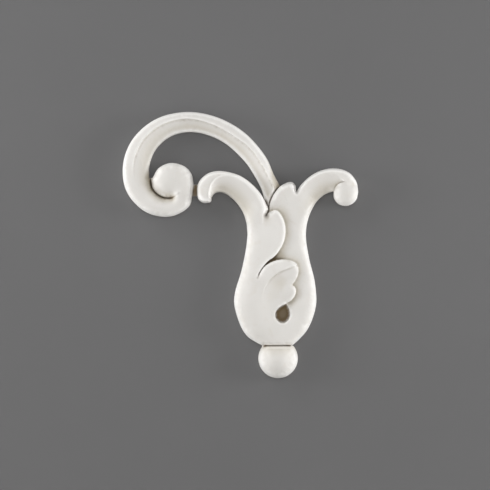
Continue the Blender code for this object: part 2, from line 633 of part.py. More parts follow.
def make_ornament():
    d = drawing(CURVE_STEP)
    rows, fixed = build_rows(d)
    points, faces = flat_net(d, rows, fixed)
    verts, polygons = solid(d, points, faces)
    mesh = bpy.data.meshes.new("scroll_ornament")
    mesh.from_pydata(verts, [], polygons)
    mesh.update()
    mesh.shade_smooth()
    mesh.set_sharp_from_angle(angle=SHARP_ANGLE)
    mesh.materials.append(surface_material())
    ornament = bpy.data.objects.new("scroll_ornament", mesh)
    bpy.context.scene.collection.objects.link(ornament)
    return ornament


for item in list(bpy.data.objects):
    bpy.data.objects.remove(item)
make_ornament()
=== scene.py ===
"""Cast scroll-and-leaf relief ornament: the finished surface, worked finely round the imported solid."""
import json
import math

import bpy
import numpy as np
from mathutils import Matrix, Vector
from mathutils.geometry import delaunay_2d_cdt
from mathutils.kdtree import KDTree

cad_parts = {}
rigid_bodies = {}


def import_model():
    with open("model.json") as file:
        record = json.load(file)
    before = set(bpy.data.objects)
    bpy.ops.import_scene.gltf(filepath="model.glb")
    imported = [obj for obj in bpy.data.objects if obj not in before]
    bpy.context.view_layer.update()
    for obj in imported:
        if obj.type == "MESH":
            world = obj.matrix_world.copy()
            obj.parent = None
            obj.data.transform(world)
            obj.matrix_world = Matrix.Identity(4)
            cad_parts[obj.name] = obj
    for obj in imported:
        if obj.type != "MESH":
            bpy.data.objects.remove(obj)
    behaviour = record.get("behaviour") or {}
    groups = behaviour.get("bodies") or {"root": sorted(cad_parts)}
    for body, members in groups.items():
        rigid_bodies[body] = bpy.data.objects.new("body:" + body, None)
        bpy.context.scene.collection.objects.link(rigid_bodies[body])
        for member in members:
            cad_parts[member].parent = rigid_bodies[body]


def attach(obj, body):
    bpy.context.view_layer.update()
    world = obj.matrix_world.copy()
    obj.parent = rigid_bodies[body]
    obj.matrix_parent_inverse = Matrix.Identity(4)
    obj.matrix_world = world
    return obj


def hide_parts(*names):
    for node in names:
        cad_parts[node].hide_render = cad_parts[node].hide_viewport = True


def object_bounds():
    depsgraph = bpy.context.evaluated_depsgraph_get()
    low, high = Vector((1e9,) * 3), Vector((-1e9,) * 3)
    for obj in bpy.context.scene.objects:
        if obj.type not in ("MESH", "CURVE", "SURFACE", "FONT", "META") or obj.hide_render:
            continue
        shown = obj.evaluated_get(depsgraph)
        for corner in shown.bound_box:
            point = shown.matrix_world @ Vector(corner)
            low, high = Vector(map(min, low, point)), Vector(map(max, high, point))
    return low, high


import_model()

bl_info = {
    "name": "Cast scroll relief",
    "version": (1, 0, 0),
    "blender": (4, 5, 0),
    "location": "3D View > Sidebar > Relief",
    "description": "Builds a cast scroll-and-leaf relief ornament and a small studio round it",
    "category": "Add Mesh",
}

CAD_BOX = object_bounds()

# Main sizes in metres; the drawing below has its own units, which the height turns into metres
HEIGHT = 0.400
DRAWING_HEIGHT = 267.0
UNIT = HEIGHT / DRAWING_HEIGHT
RELIEF_DEPTH = 0.031

# Body: height of its edge, rounded edge and the slope above it, foot and shallow dish
BODY_EDGE = 0.012
BODY_ROUNDING = 0.0135
BODY_SLOPE = 0.0405
SLOPE_SHARE = 0.48
FOOT_DROP = 0.006
FOOT_ROUNDING = 0.006
DISH_DEPTH = 0.0065
DISH_CENTRE = (1.0, -3.0)
DISH_SPREAD = (17.0, 30.0)
DISH_FLATNESS = 1.3
WAIST = 60.0
ARM_ROOT = 98.0
INNER_FROM = 66.0

# Overlapping leaves: the step, its bevelled edge, the channel beside it and the lobe's own hollow
EDGE_BEVEL = 0.0036
EDGE_DROP = 0.0030
FOOT_OF_STEP = 0.0013
CHANNEL_DEPTH = 0.0058
CHANNEL_SPREAD = 9.5
CHANNEL_END = -26.0
LOBE_DISH = 0.0022
LOBE_DISH_INSET = 9.0
LOBE_DISH_SPREAD = 6.0
LOBE_DISH_FROM = (24.0, 50.0)
LOBE_DISH_TO = (92.0, 80.0)
LOBE_DISH_SIDE = (-30.0, -14.0)

# Narrow cleft under the lobe, and the right lobe's edge where it laps over the band
CLEFT_DEPTH = 0.011
CLEFT_WIDTH = 6.5
LAP_EDGE = 0.0235
LAP_TOP = 114.5
LAP_SIDE = 8.0
LAP_FADE = 5.0

# Fan leaf: vein and hollow
VEIN_STEP = 0.0012
VEIN_SPREAD = 3.5
VEIN_RISE = 0.5
VEIN_CUT = 0.0002
CUT_SPREAD = 0.7
VEIN_FADE = (2.0, 26.0)
FAN_HOLLOW = 0.0032
FAN_HOLLOW_CENTRE = (6.5, 19.5)
FAN_HOLLOW_SPREAD = (11.0, 5.5)
FAN_HOLLOW_TILT = 0.34

# Arms: ridge, scooped face and rounded back
ARRIS_DROP = 0.002
ARM_ROUNDING = 0.006
TIP_ROUNDING = 0.0036
INNER_ROUNDING = 0.0016
SCOOP_DEPTH = 0.0125
SCOOP_CURVE = 1.15
SCOOP_FADE = 0.65
SCOOP_FADE_FROM = 46.0
SCOOP_FADE_TO = 66.0
LEFT_BACK_FALL = 0.0035
ARRIS_CUT = 0.0016
ARRIS_CUT_FADE = (-38.0, -58.0)
RIGHT_BACK_FALL = 0.0028
BACK_WIDTH = 9.0
LEFT_ROOT = (-22.0, 72.0)
LEFT_WAY = (-0.6, 0.8)
LEFT_FADE = (-4.0, 24.0)
RIGHT_ROOT = (27.0, 100.0)
RIGHT_WAY = (0.75, 0.65)
RIGHT_FADE = (-20.0, 12.0)
MIDDLE = (-5.0, -12.0)
RIGHT_SIDE = (19.0, 22.0)

# Curl at the end of the right arm
CURL_CENTRE = (68.6, 106.8)
CURL_RADIUS = 13.3
CURL_CUT = 0.0010
CURL_WRAP = (100.0, 122.0)
CURL_TILT = 0.3
CURL_START = 50.0
BLEND = 0.003

# Teardrop recess
EYE_FLOOR = 0.012
EYE_WALL = 0.0024
EYE_LIP = 0.0008
EYE_LIP_SPREAD = 1.6

# Scroll band, its moulding and its volute
SCROLL_EDGE = 0.011
SCROLL_RISE = 0.026
SCROLL_ROUNDING = 0.0024
RIM_FALL = 0.0048
TAIL_FALL = 0.006
TAIL_FALL_FROM = (134.0, 114.0)
RIM_CURVE = 1.6
GROOVE_STEP = 0.0018
GROOVE_CUT = 0.0013
CAVETTO_DEPTH = 0.0095
CAVETTO_CURVE = 1.5
ROLL_RISE = 0.024
ROLL_ROUNDING = 0.0127
ROLL_FROM = 0.60
ROLL_TO = 0.74
DOME_SLOPE = 0.030
DOME_UP = (88.0, 116.0)
DOME_FULL = (-104.0, -94.0)
DOME_ROLL = (-110.0, -92.0)
EYE_SIDE = (-92.0, -104.0)
CREVICE_FLOOR = 0.007
CREVICE_ROUNDING = 0.0105
CREVICE_CLOSING = 8.0
CREVICE_TAPER = 13.0
CREVICE_SINK = 0.006
CREVICE_REACH = 9.0
CREVICE_SINK_FROM = 24.0
TAIL_HEIGHT = 0.009
TAIL_REACH = 1.8
TAIL_TOP = 130.0
TAIL_LEFT = -25.0

# Seam under the bulb, the half ball below it and the neck behind it
SEAM = -45.7
SEAM_GAP = 0.8
BALL_RADIUS = 0.0297
BALL_DROP = 0.0189
BALL_OFFSET = 0.7
BALL_EDGE = 0.003
BALL_CUT_ROUNDING = 0.0024
BALL_CUT_DROP = 0.003
NECK_HEIGHT = 0.012
NECK_OVERLAP = 2.0

# Web between the volute and the leaf tip: its height, the height up to which it is painted dark as shade, and
# the least height of the whole relief
WEB_HEIGHT = 0.005
WEB_SHADED_UP_TO = 1.5 * WEB_HEIGHT
LEAST_HEIGHT = 0.5 * WEB_HEIGHT
WEB = ((-88.0, 104.5), (-78.0, 104.5), (-78.0, 116.0), (-88.0, 116.0))

# Fineness of the surface, in drawing units; the pitch of the rows is a share of the gap along them
CURVE_STEP = 1.0
LONGEST_EDGE = 1.5
EDGE_ROWS = 10
EDGE_REACH = 8.0
STEP_ROWS = (0.25, 0.6, 1.2, 2.4)
STEP_LINES = ("edge", "groove", "crevice", "eye", "vein", "left_arris", "right_arris", "curl_line")
ON_LINE = 0.03
ROW_PITCH = 0.87
LINE_SAMPLING = 0.2
MERGED_WITHIN = 0.01
MERGED_AT_BACK = 0.00001

# Points from which a line is searched by a tree, share of its distance that a row's point keeps, and the
# angle in radians past which an edge is sharp
SHORT_LINE = 24
KEPT_DISTANCE = 0.93
SHARP_ANGLE = 0.9

# Name of the finished piece, and the number of faces under which it came out wrong
PIECE = "scroll_ornament_cast"
LEAST_FACES = 1000

# Room between points: the first is a share of a row's own distance, the others are shares of the fineness
ROW_FROM_LINE = 0.8
FIELD_FROM_LINE = 0.4
STEP_SPACING = 0.5
EDGE_SPACING = 0.6
FIELD_SPACING = 0.65

# Rounds of evening out that soften the open faces, and how far from a step or a rim they start and are full
SOFT_ROUNDS = 40
SOFT_FROM_STEPS = (1.2, 4.5)
SOFT_FROM_RIM = (4.0, 10.0)

# Levels that a place is compared with: rounds of evening out for the near one, further rounds on top of
# those for the next, and rounds for the wide one
NEAR_ROUNDS = 5
FURTHER_ROUNDS = 20
WIDE_ROUNDS = 160

# Depth at which the painted shade of a hollow or a crease is full, share of a crease's depth where it starts,
# gain of the painted highlight on proud edges, heights and depths between which a deep place gets painted
# shade, and what is left of that shade by the crevice
HOLLOW_DEPTH = 0.0030
CREASE_DEPTH = 0.0009
CREASE_START = 0.12
PROUD_GAIN = 1.6
DEEP_LEVEL = (0.0175, 0.0115)
DEEP_BELOW = (0.0008, 0.0024)
DEEP_BY_CREVICE = 0.6

# Rounds of evening out that soften each kind of painted shade and painted highlight
SOFTENING = {"hollow": 6, "soft_shade": 3, "crease": 1, "corner_shade": 2, "proud": 2, "cleft": 1}

# Distances from the rim, the border or a line at which a mask is nothing and full, in drawing units
FRONT_FADE = (0.3, 2.5)
HOLLOW_FADE = (1.0, 6.0)
CREASE_FADE = (1.0, 3.0)
DEEP_FADE = (1.0, 2.5)
RECESS_FADE = (0.1, 1.3)
OFF_CREVICE_FADE = (1.5, 5.0)

# Soft painted shade: where it is nothing and full by each place, where it ends along that place, and its
# strength
LEAF_SHADE = (22.0, 4.0)
EDGE_SHADE = (5.0, 0.5)
EDGE_SHADE_END = (40.0, 12.0)
CREVICE_SHADE = (10.0, 1.0)
CREVICE_SHADE_END = (0.75, 0.3)
BAND_SHADE = (16.0, 2.0)
BAND_SHADE_END = (-100.0, -125.0)
BALL_SHADE = (14.0, 0.0)
SCOOP_SHADE = (0.25, 0.95)
CLEFT_SHADE = (18.0, 4.0)
SHADE_STRENGTH = {"leaves": 0.8, "cleft": 0.9, "crevice": 0.6, "band": 0.5, "ball": 0.6, "scoops": 0.68}

# Painted shade on the floor of the cleft, and painted shade beside the leaf and in the crevice's outer corner
CLEFT_DARK = (7.0, 3.5)
CLEFT_END = (-30.0, 10.0)
CLEFT_BY_FAN = (2.4, 0.6)
CLEFT_BY_FAN_END = (13.0, 4.0)
CLEFT_BY_FAN_SHARE = 0.6
SHADE_BY_LEAF = (7.0, 0.5)
SHADE_BY_LEAF_SHARE = 0.7
SHADE_IN_CORNER = (4.5, 1.0)
SHADE_IN_CORNER_SHARE = 0.6

# Painted highlight: the bevels of the lobe and the fan leaf between their two ends, the rim and the left
# arris
LOBE_BEVEL = (3.2, 1.2)
LOBE_BEVEL_ENDS = ((38.0, 46.0), (92.0, 84.0))
FAN_BEVEL = (3.0, 0.8)
FAN_BEVEL_ENDS = ((14.0, 10.0), (-4.0, 2.0))
BEVEL_SHARE = 0.7
RIM_HIGHLIGHT = (2.5, 0.3)
RIM_HIGHLIGHT_LEVEL = (0.009, 0.012)
RIM_HIGHLIGHT_SHARE = 0.7
ARRIS_HIGHLIGHT = (1.6, 0.3)
ARRIS_HIGHLIGHT_SHARE = 0.6

# Layers of colour over the clouded plaster, from the first laid to the last: mask, strength and colour. The
# blotches are the plaster's own stains; the layers of hollows, creases, deep places and the recess are
# painted shade, the layer of crests is painted highlight, and the pits are painted shade
COLOUR_LAYERS = (
    ("Blotches", 0.15, "blotch_colour"),
    ("hollow", 0.85, "hollow_shade_colour"),
    ("crease", 0.68, "crease_shade_colour"),
    ("deep", 0.9, "recess_shade_colour"),
    ("recess", 0.9, "recess_shade_colour"),
    ("crest", 0.7, "crest_highlight_colour"),
    ("Pits", 0.10, "crease_shade_colour"),
)

# Roughness that clouds and creases add, shares of the grain and the pits in the fine relief, pits in a metre,
# and how much darker the clouds of the stage's paper are
CLOUD_ROUGHNESS = 0.08
CREASE_ROUGHNESS = 0.2
GRAIN_SHARE = 0.5
PIT_SHARE = 0.35
PITS_A_METRE = 210.0
PAPER_SHADE = 0.96

# Stage, in metres: the wall stands just in front of the flat back
WALL_LINE = -0.0003
WALL_SIDE = 1.9
WALL_TOP = 1.7
FLOOR_LEVEL = -0.62
FLOOR_SIDE = 4.0
FLOOR_REACH = 3.0
SKY_TONE = (1.0, 0.99, 0.975, 1.0)

# Soft boxes: turn from the front toward the right and rise, in degrees; their distance and size in metres
SOFT_BOXES = {
    "left": (-80.0, 5.0),
    "right": (80.0, 5.0),
    "upper_left": (-60.0, 45.0),
    "front": (0.0, 10.0),
    "back": (205.0, 30.0),
}
BOX_DISTANCE = 2.4
BOX_SIZE = 1.0

# Camera's frame: its middle, its width and how far before the wall's plane that width is measured
VIEW_CENTRE = (-32.5 * UNIT, 55.5 * UNIT)
VIEW_WIDTH = 490 * UNIT
VIEW_PLANE = 0.014
SENSOR_WIDTH = 36.0

# Outlines and feature lines, measured in drawing units from the fixing point behind the bulb
NECK_LEFT = (-15.5, SEAM + SEAM_GAP)
NECK_RIGHT = (15.0, SEAM + SEAM_GAP)
SCROLL_OUTER = ((9, 100), (2.2, 115), (-3.6, 126), (-11.8, 143.7), (-33.7, 168.5), (-62.9, 184.2),
                (-92.6, 188.6), (-122.6, 181), (-145.6, 160.4), (-154.7, 135), (-151, 109),
                (-132, 88.6), (-107.6, 84), (-88.5, 94.3), (-85, 107))
WHORL = ((-85, 107), (-84.2, 117.5), (-86.6, 127.4), (-92.8, 134), (-105.6, 137.7), (-113, 136),
         (-119.7, 131.8), (-125.2, 122.8))
SCROLL_INNER = ((-11.8, 83.5), (-12.6, 97), (-16, 111), (-23.8, 126), (-33, 139.4), (-56, 159.6),
                (-83.3, 168.6), (-105.7, 165), (-122.4, 150.7), (-128.6, 133.1), (-128.4, 122.8))
CREVICE = ((-126.8, 122.8), (-126.6, 118), (-125, 112), (-120.5, 106.7), (-114, 103.2), (-107, 102.6),
           (-101.5, 104.5), (-98.4, 107.7))
GROOVE = ((-1.8, 104), (-4.5, 115), (-8.7, 123), (-14.5, 134.2), (-27.4, 152), (-45, 165), (-62, 174.7),
          (-82, 180.7), (-97, 181), (-117, 174.7), (-132, 163), (-142, 145), (-144.5, 130),
          (-142.5, 117), (-137, 105))
LEFT_TOP = ((-11.3, 85), (-9.8, 88.5), (-9.8, 93.2), (-18.5, 109.1), (-36.9, 124.5), (-59.9, 129.6),
            (-71.2, 126.1), (-79.2, 117.6), (-80.3, 105.8), (-78.8, 100.7), (-73.9, 97.7), (-68.1, 98))
LEFT_TIP = ((-68.1, 98), (-66.4, 99.2), (-66, 103.2))
LEFT_INNER = ((-66, 103.2), (-62.2, 107.6), (-56.5, 108.4), (-51, 106.4), (-42, 98.8), (-35.1, 89.2),
              (-31.2, 78), (-30, 66.1))
BODY_LEFT = ((-30, 66.1), (-31.2, 54.1), (-35.8, 30.7), (-42.5, 7.8), (-43.2, -4.2), (-36.3, -26.8),
             (-29.6, -36.4), (-20.6, -42.3), NECK_LEFT)
BODY_RIGHT = (NECK_RIGHT, (23.6, -37), (31.2, -27.1), (38.6, -4.7), (37.3, 19.1), (31.7, 42.2),
              (28.5, 65.9), (31.4, 83.6), (39.7, 99.3), (48.8, 106.8), (56.4, 109.2))
BODY_BOTTOM = (NECK_LEFT, (-7, -49), (0, -50.2), (7, -49), NECK_RIGHT)
CURL_OUTLINE = ((56.4, 109.2), (56.7, 102.4), (61.1, 96.7), (68.2, 94.6), (74.3, 96.4), (78.7, 101.1),
                (80.5, 108.6))
RIGHT_TOP = ((80.5, 108.6), (79.4, 117.6), (73.4, 126.5), (64.4, 131.1), (53.2, 132.1), (41.2, 129.2),
             (30.6, 122.6), (22.5, 114.4), (19.3, 109.4))
RIGHT_LOBE = ((18.9, 110), (18.1, 114.9), (14.7, 118.5), (8.2, 117.5), (0.8, 112.2), (-5, 103.5),
              (-7.8, 95.7), (-8.2, 89.4))
LEFT_ARRIS = ((-66.1, 98.6), (-68.4, 104.5), (-67.9, 111), (-65.6, 117.4), (-61, 122.2), (-54.5, 124.8),
              (-47, 125), (-39, 122), (-29, 115), (-19.5, 103.5), (-14.5, 91), (-15, 78))
RIGHT_ARRIS = ((19.5, 104), (24.3, 112.8), (31.5, 119.8), (40, 125), (48, 127.4), (56, 126.8),
               (62.5, 123.8), (66.3, 118.4))
CURL_LINE = ((56.4, 109.2), (57.5, 112.8), (61, 116.7), (66.3, 118.4))
LOBE_EDGE = ((-11.3, 85), (-8.5, 87.7), (-1.7, 90.1), (3.5, 85.5), (7.3, 75.5), (7.3, 64), (3.4, 53),
             (-4, 43.3), (-8.7, 40.2), (-13.2, 35.4), (-18.3, 27.8), (-19.7, 23.2))
FAN_TOP = ((-19.7, 23.2), (-15.2, 31.6), (-12.6, 34.5), (-5.3, 38.9), (4.7, 41.1), (14.7, 39.4),
           (19.2, 36.6))
FAN_RIGHT = ((19.2, 36.6), (20.7, 31.5), (20.2, 26), (17.8, 20.6), (14.2, 15.6))
FAN_LOBE = ((14.2, 15.6), (17.3, 13), (18.1, 8.5), (16, 3.2), (12.2, -0.6), (8.6, -2.6))
EYE = ((8.6, -2.6), (3.3, -5), (-1.4, -9.2), (-3, -14.8), (-0.6, -20.2), (5, -22.8), (10.4, -20.2),
       (12.8, -14.2), (11.8, -8), (8.6, -2.6))
VEIN = ((19.6, 35.4), (10, 32.1), (1.4, 28.4), (-6, 22.8), (-11.1, 15.8), (-14.4, 9), (-15.6, 2))

# Lines that are smoothed one by one, by the names that the height rules use
SMOOTH_LINES = {
    "outer": SCROLL_OUTER, "whorl": WHORL, "inner": SCROLL_INNER, "crevice": CREVICE, "groove": GROOVE,
    "left_arris": LEFT_ARRIS, "right_arris": RIGHT_ARRIS, "curl_line": CURL_LINE, "lobe_edge": LOBE_EDGE,
    "eye": EYE, "vein": VEIN,
}

# Turns that close the regions beside the feature lines, and the share of the recess's outline after which
# the step beside the fan leaf follows it
LOWER_TURNS = ((6, -9), (5, -23), (143, -23), (143, 150), (-2, 150), (-8.5, 94))
RIM_TURN = ((-127, 100),)
WHORL_TURNS = ((-72, 115), (-72, 150), (-117, 150), (-125.8, 134))
LEFT_TURNS = ((-15, 60), (-30, 60))
RIGHT_TURNS = ((28, 60), (19, 60))
VEIN_TURNS = ((-15, -3), (9, -3))
EYE_STEP_FROM = 0.6


def ease(start, end, value):
    """Smooth change from 0 at the start to 1 at the end."""
    t = np.clip((value - start) / (end - start), 0, 1)
    return t * t * (3 - 2 * t)


def shoulder(distance, width):
    """Quarter round: 0 at the edge, 1 at the width in metres and beyond."""
    t = 1 - np.clip(distance * UNIT / width, 0, 1)
    return np.sqrt(np.maximum(0, 1 - t * t))


def swell(distance, width, slope):
    """Rounded edge that goes on rising gently toward the middle, from 0 to 1."""
    t = 1 - np.clip(distance * UNIT / slope, 0, 1)
    return shoulder(distance, width) * (1 - SLOPE_SHARE) + (1 - t * t) * SLOPE_SHARE


def soft_max(a, b):
    """Higher of two heights with the crease between them filled."""
    return (a + b + np.sqrt((a - b) ** 2 + BLEND**2) - BLEND) / 2


def bump(distance, spread):
    """Soft hill of height 1."""
    return np.exp(-(distance / spread) ** 2)


def spline(points):
    """Smooth curve through the points, parted about evenly."""
    p = np.asarray(points, float)
    p = np.vstack([2 * p[0] - p[1], p, 2 * p[-1] - p[-2]])
    runs = []
    for a, b, c, d in zip(p[:-3], p[1:-2], p[2:-1], p[3:]):
        ta, tb, tc = (np.linalg.norm(v) ** 0.5 for v in (b - a, c - b, d - c))
        out = tb * ((b - a) / ta - (c - a) / (ta + tb) + (c - b) / tb)
        back = tb * ((c - b) / tb - (d - b) / (tb + tc) + (d - c) / tc)
        n = max(1, round(float(tb * tb) / CURVE_STEP))
        t = np.linspace(0, 1, n, endpoint=False)[:, None]
        near_end = (2 * t**3 - 3 * t**2 + 1) * b + (t**3 - 2 * t**2 + t) * out
        runs.append(near_end + (3 * t**2 - 2 * t**3) * c + (t**3 - t**2) * back)
    return np.vstack(runs + [p[-2:-1]])


def join(*lines):
    """One line out of several laid end to end."""
    parts = [np.asarray(line, float) for line in lines]
    rest = [q[1:] if np.allclose(q[0], p[-1]) else q for p, q in zip(parts, parts[1:])]
    return np.vstack(parts[:1] + rest)


def closed(line):
    return np.vstack([line, line[:1]])


def sampled(line, gap):
    """Points along a line no further apart than the gap."""
    runs = []
    for a, b in zip(line[:-1], line[1:]):
        n = max(1, math.ceil(float(np.hypot(*(b - a))) / gap))
        runs.append(a + (b - a) * np.linspace(0, 1, n, endpoint=False)[:, None])
    return np.vstack(runs + [line[-1:]])


def near(points, line):
    """Distance of each point from the line, and the share of the line's length at the nearest place."""
    length = np.hypot(*np.diff(line, axis=0).T)
    run = np.concatenate([[0], np.cumsum(length)])
    best = np.full(len(points), np.inf)
    along = np.zeros(len(points))
    last = len(length) - 1
    if len(line) < SHORT_LINE:
        choices = [np.full(len(points), i) for i in range(len(length))]
    else:
        tree = KDTree(len(line))
        for i, (x, z) in enumerate(line.tolist()):
            tree.insert((x, z, 0), i)
        tree.balance()
        closest = np.array([tree.find((x, z, 0))[1] for x, z in points.tolist()], int)
        choices = [np.clip(closest + k, 0, last) for k in (-1, 0)]
        if np.allclose(line[0], line[-1]):
            choices.append(np.where(closest == 0, last, choices[0]))
            choices.append(np.where(closest > last, 0, choices[1]))
    for i in choices:
        edge = line[i + 1] - line[i]
        rel = points - line[i]
        t = np.clip((rel * edge).sum(axis=1) / np.maximum(length[i] ** 2, 1e-12), 0, 1)
        gap = np.hypot(*(rel - t[:, None] * edge).T)
        closer = gap < best
        best[closer] = gap[closer]
        along[closer] = (run[i] + t * length[i])[closer]
    return best, along / run[-1]


def share(to_one, to_other):
    """How far across from one line to the other, from 0 to 1."""
    return to_one / (to_one + to_other + 1e-9)


def apart(points, place):
    """Distance of each point from one place."""
    return np.hypot(*(points - np.array(place)).T)


def within(points, loop):
    """True for points inside the closed loop."""
    x, z = points.T
    order = np.argsort(z, kind="stable")
    levels = z[order]
    inside = np.zeros(len(points), bool)
    ring = closed(loop)
    for (ax, az), (bx, bz) in zip(ring[:-1].tolist(), ring[1:].tolist()):
        first, last = np.searchsorted(levels, (min(az, bz), max(az, bz)))
        if last > first:
            here = order[first:last]
            inside[here] ^= x[here] < (bx - ax) * (z[here] - az) / (bz - az) + ax
    return inside


def ball_place():
    """Centre and radius of the half ball, in drawing units."""
    return np.array([BALL_OFFSET, SEAM - BALL_DROP / UNIT]), BALL_RADIUS / UNIT


def drawing():
    """Every outline, feature line and region of the ornament."""
    d = {name: spline(points) for name, points in SMOOTH_LINES.items()}
    d["web"] = np.array(WEB)
    low, high = SEAM - NECK_OVERLAP, SEAM + SEAM_GAP + NECK_OVERLAP
    left, right = NECK_LEFT[0], NECK_RIGHT[0]
    d["neck"] = np.array([(left, low), (right, low), (right, high), (left, high)])
    left_inner = spline(LEFT_INNER)
    left_tip = spline(LEFT_TIP)
    body_right = spline(BODY_RIGHT)
    d["left_inner"] = join(left_tip[1:], left_inner)
    d["right_inner"] = body_right[body_right[:, 1] > INNER_FROM]
    d["fan"] = join(spline(FAN_TOP), spline(FAN_RIGHT), spline(FAN_LOBE))
    right_end = [spline(part) for part in (CURL_OUTLINE, RIGHT_TOP, RIGHT_LOBE)]
    left_side = join(spline(LEFT_TOP), left_tip, left_inner, spline(BODY_LEFT))
    d["body"] = join(left_side, body_right, *right_end)
    d["scroll"] = join(d["outer"], d["whorl"], d["inner"][::-1])
    d["body_side"] = join(spline(BODY_BOTTOM)[::-1], body_right, *right_end, left_side)
    centre, radius = ball_place()
    start = np.arcsin((SEAM - centre[1]) / radius)
    sweep = np.pi + 2 * start
    turn = np.pi - start + sweep * np.linspace(0, 1, round(sweep * radius / CURVE_STEP) + 1)
    d["ball"] = centre + radius * np.column_stack([np.cos(turn), np.sin(turn)])
    d["edge"] = join(d["lobe_edge"], d["fan"])
    lobe = right_end[-1]
    d["lap_line"] = lobe[(lobe[:, 0] < LAP_SIDE) & (lobe[:, 1] < LAP_TOP)]
    d["step_line"] = join(d["edge"], d["eye"][int(len(d["eye"]) * EYE_STEP_FROM):][::-1])
    d["lower"] = join(d["edge"], LOWER_TURNS)
    d["rim_area"] = join(d["outer"], RIM_TURN, d["groove"][::-1])
    d["whorl_area"] = join(d["crevice"], WHORL_TURNS)
    d["left_area"] = join(d["left_arris"], LEFT_TURNS, left_inner[::-1], left_tip[::-1])
    right_side = join(d["right_arris"], d["curl_line"][::-1], d["right_inner"][::-1])
    d["right_area"] = join(right_side, RIGHT_TURNS)
    d["under_vein"] = join(d["vein"], VEIN_TURNS, d["fan"][::-1][: len(d["fan"]) // 2])
    return d


def scroll_height(d, p):
    """Scroll band: sloping rim, groove and hollow moulding, turning into a plain roll round a domed eye."""
    to_outer, along = near(p, d["outer"])
    to_inner, _ = near(p, d["inner"])
    to_crevice, _ = near(p, d["crevice"])
    to_whorl, _ = near(p, d["whorl"])
    to_groove, _ = near(p, d["groove"])
    inner = np.minimum(to_inner, to_crevice)
    on_rim = within(p, d["rim_area"]) | (to_groove < ON_LINE)
    x, z = p.T
    rim_fall = RIM_FALL + TAIL_FALL * ease(*TAIL_FALL_FROM, z) * (x > TAIL_LEFT)
    rim = SCROLL_RISE - rim_fall * (1 - share(to_outer, to_groove)) ** RIM_CURVE
    fall = 1 - (1 - share(to_groove, inner)) ** CAVETTO_CURVE
    hollow = SCROLL_RISE - GROOVE_STEP - CAVETTO_DEPTH * fall
    band = np.where(on_rim, rim, hollow - GROOVE_CUT * bump(to_groove - CUT_SPREAD, CUT_SPREAD))
    band = SCROLL_EDGE + (band - SCROLL_EDGE) * shoulder(np.minimum(to_outer, inner), SCROLL_ROUNDING)
    open_edge = np.minimum(to_outer, np.minimum(to_whorl, to_inner))
    in_whorl = within(p, d["whorl_area"])
    up = ease(*DOME_UP, z)
    domed = np.where(in_whorl, 1 - (1 - up) * ease(*DOME_FULL, x), up * ease(*DOME_ROLL, x))
    rise = ROLL_RISE + (RELIEF_DEPTH - ROLL_RISE) * domed
    plain = shoulder(open_edge, ROLL_ROUNDING)
    outside = plain + (swell(open_edge, ROLL_ROUNDING, DOME_SLOPE) - plain) * domed
    closing = to_crevice + CREVICE_CLOSING * ease(CREVICE_TAPER, 0, apart(p, CREVICE[-1])) ** 2
    beside_crevice = shoulder(closing, CREVICE_ROUNDING)
    inward = in_whorl * ease(*EYE_SIDE, x)
    beside_crevice += (swell(closing, ROLL_ROUNDING, DOME_SLOPE) - beside_crevice) * inward
    roll = SCROLL_EDGE + (rise - SCROLL_EDGE) * outside
    roll = np.minimum(roll, CREVICE_FLOOR + (rise - CREVICE_FLOOR) * beside_crevice)
    turn = np.where(in_whorl, 1.0, ease(ROLL_FROM, ROLL_TO, along))
    sink = ease(CREVICE_REACH, 0, to_crevice) * ease(0, CREVICE_SINK_FROM, apart(p, CREVICE[-1])) * ~in_whorl
    height = band * (1 - turn) + roll * turn - CREVICE_SINK * sink
    to_leaves = np.where(within(p, d["body_side"]), 0, near(p, closed(d["body_side"]))[0])
    dive = ease(TAIL_REACH, 0, to_leaves) * (x > TAIL_LEFT) * (z < TAIL_TOP)
    return height - (height - TAIL_HEIGHT) * dive


def arm_height(p, arris, inner, area, depth, fall):
    """Scooped arm: a ridge, a hollow between it and the inner edge and a rounded back outside it."""
    to_arris, _ = near(p, arris)
    to_inner, _ = near(p, inner)
    inside = within(p, area) | (to_arris < ON_LINE)
    scoop = depth * share(to_arris, to_inner) ** SCOOP_CURVE
    back = fall * (to_arris / BACK_WIDTH) ** 2
    return RELIEF_DEPTH - ARRIS_DROP - np.where(inside, scoop, back), inside


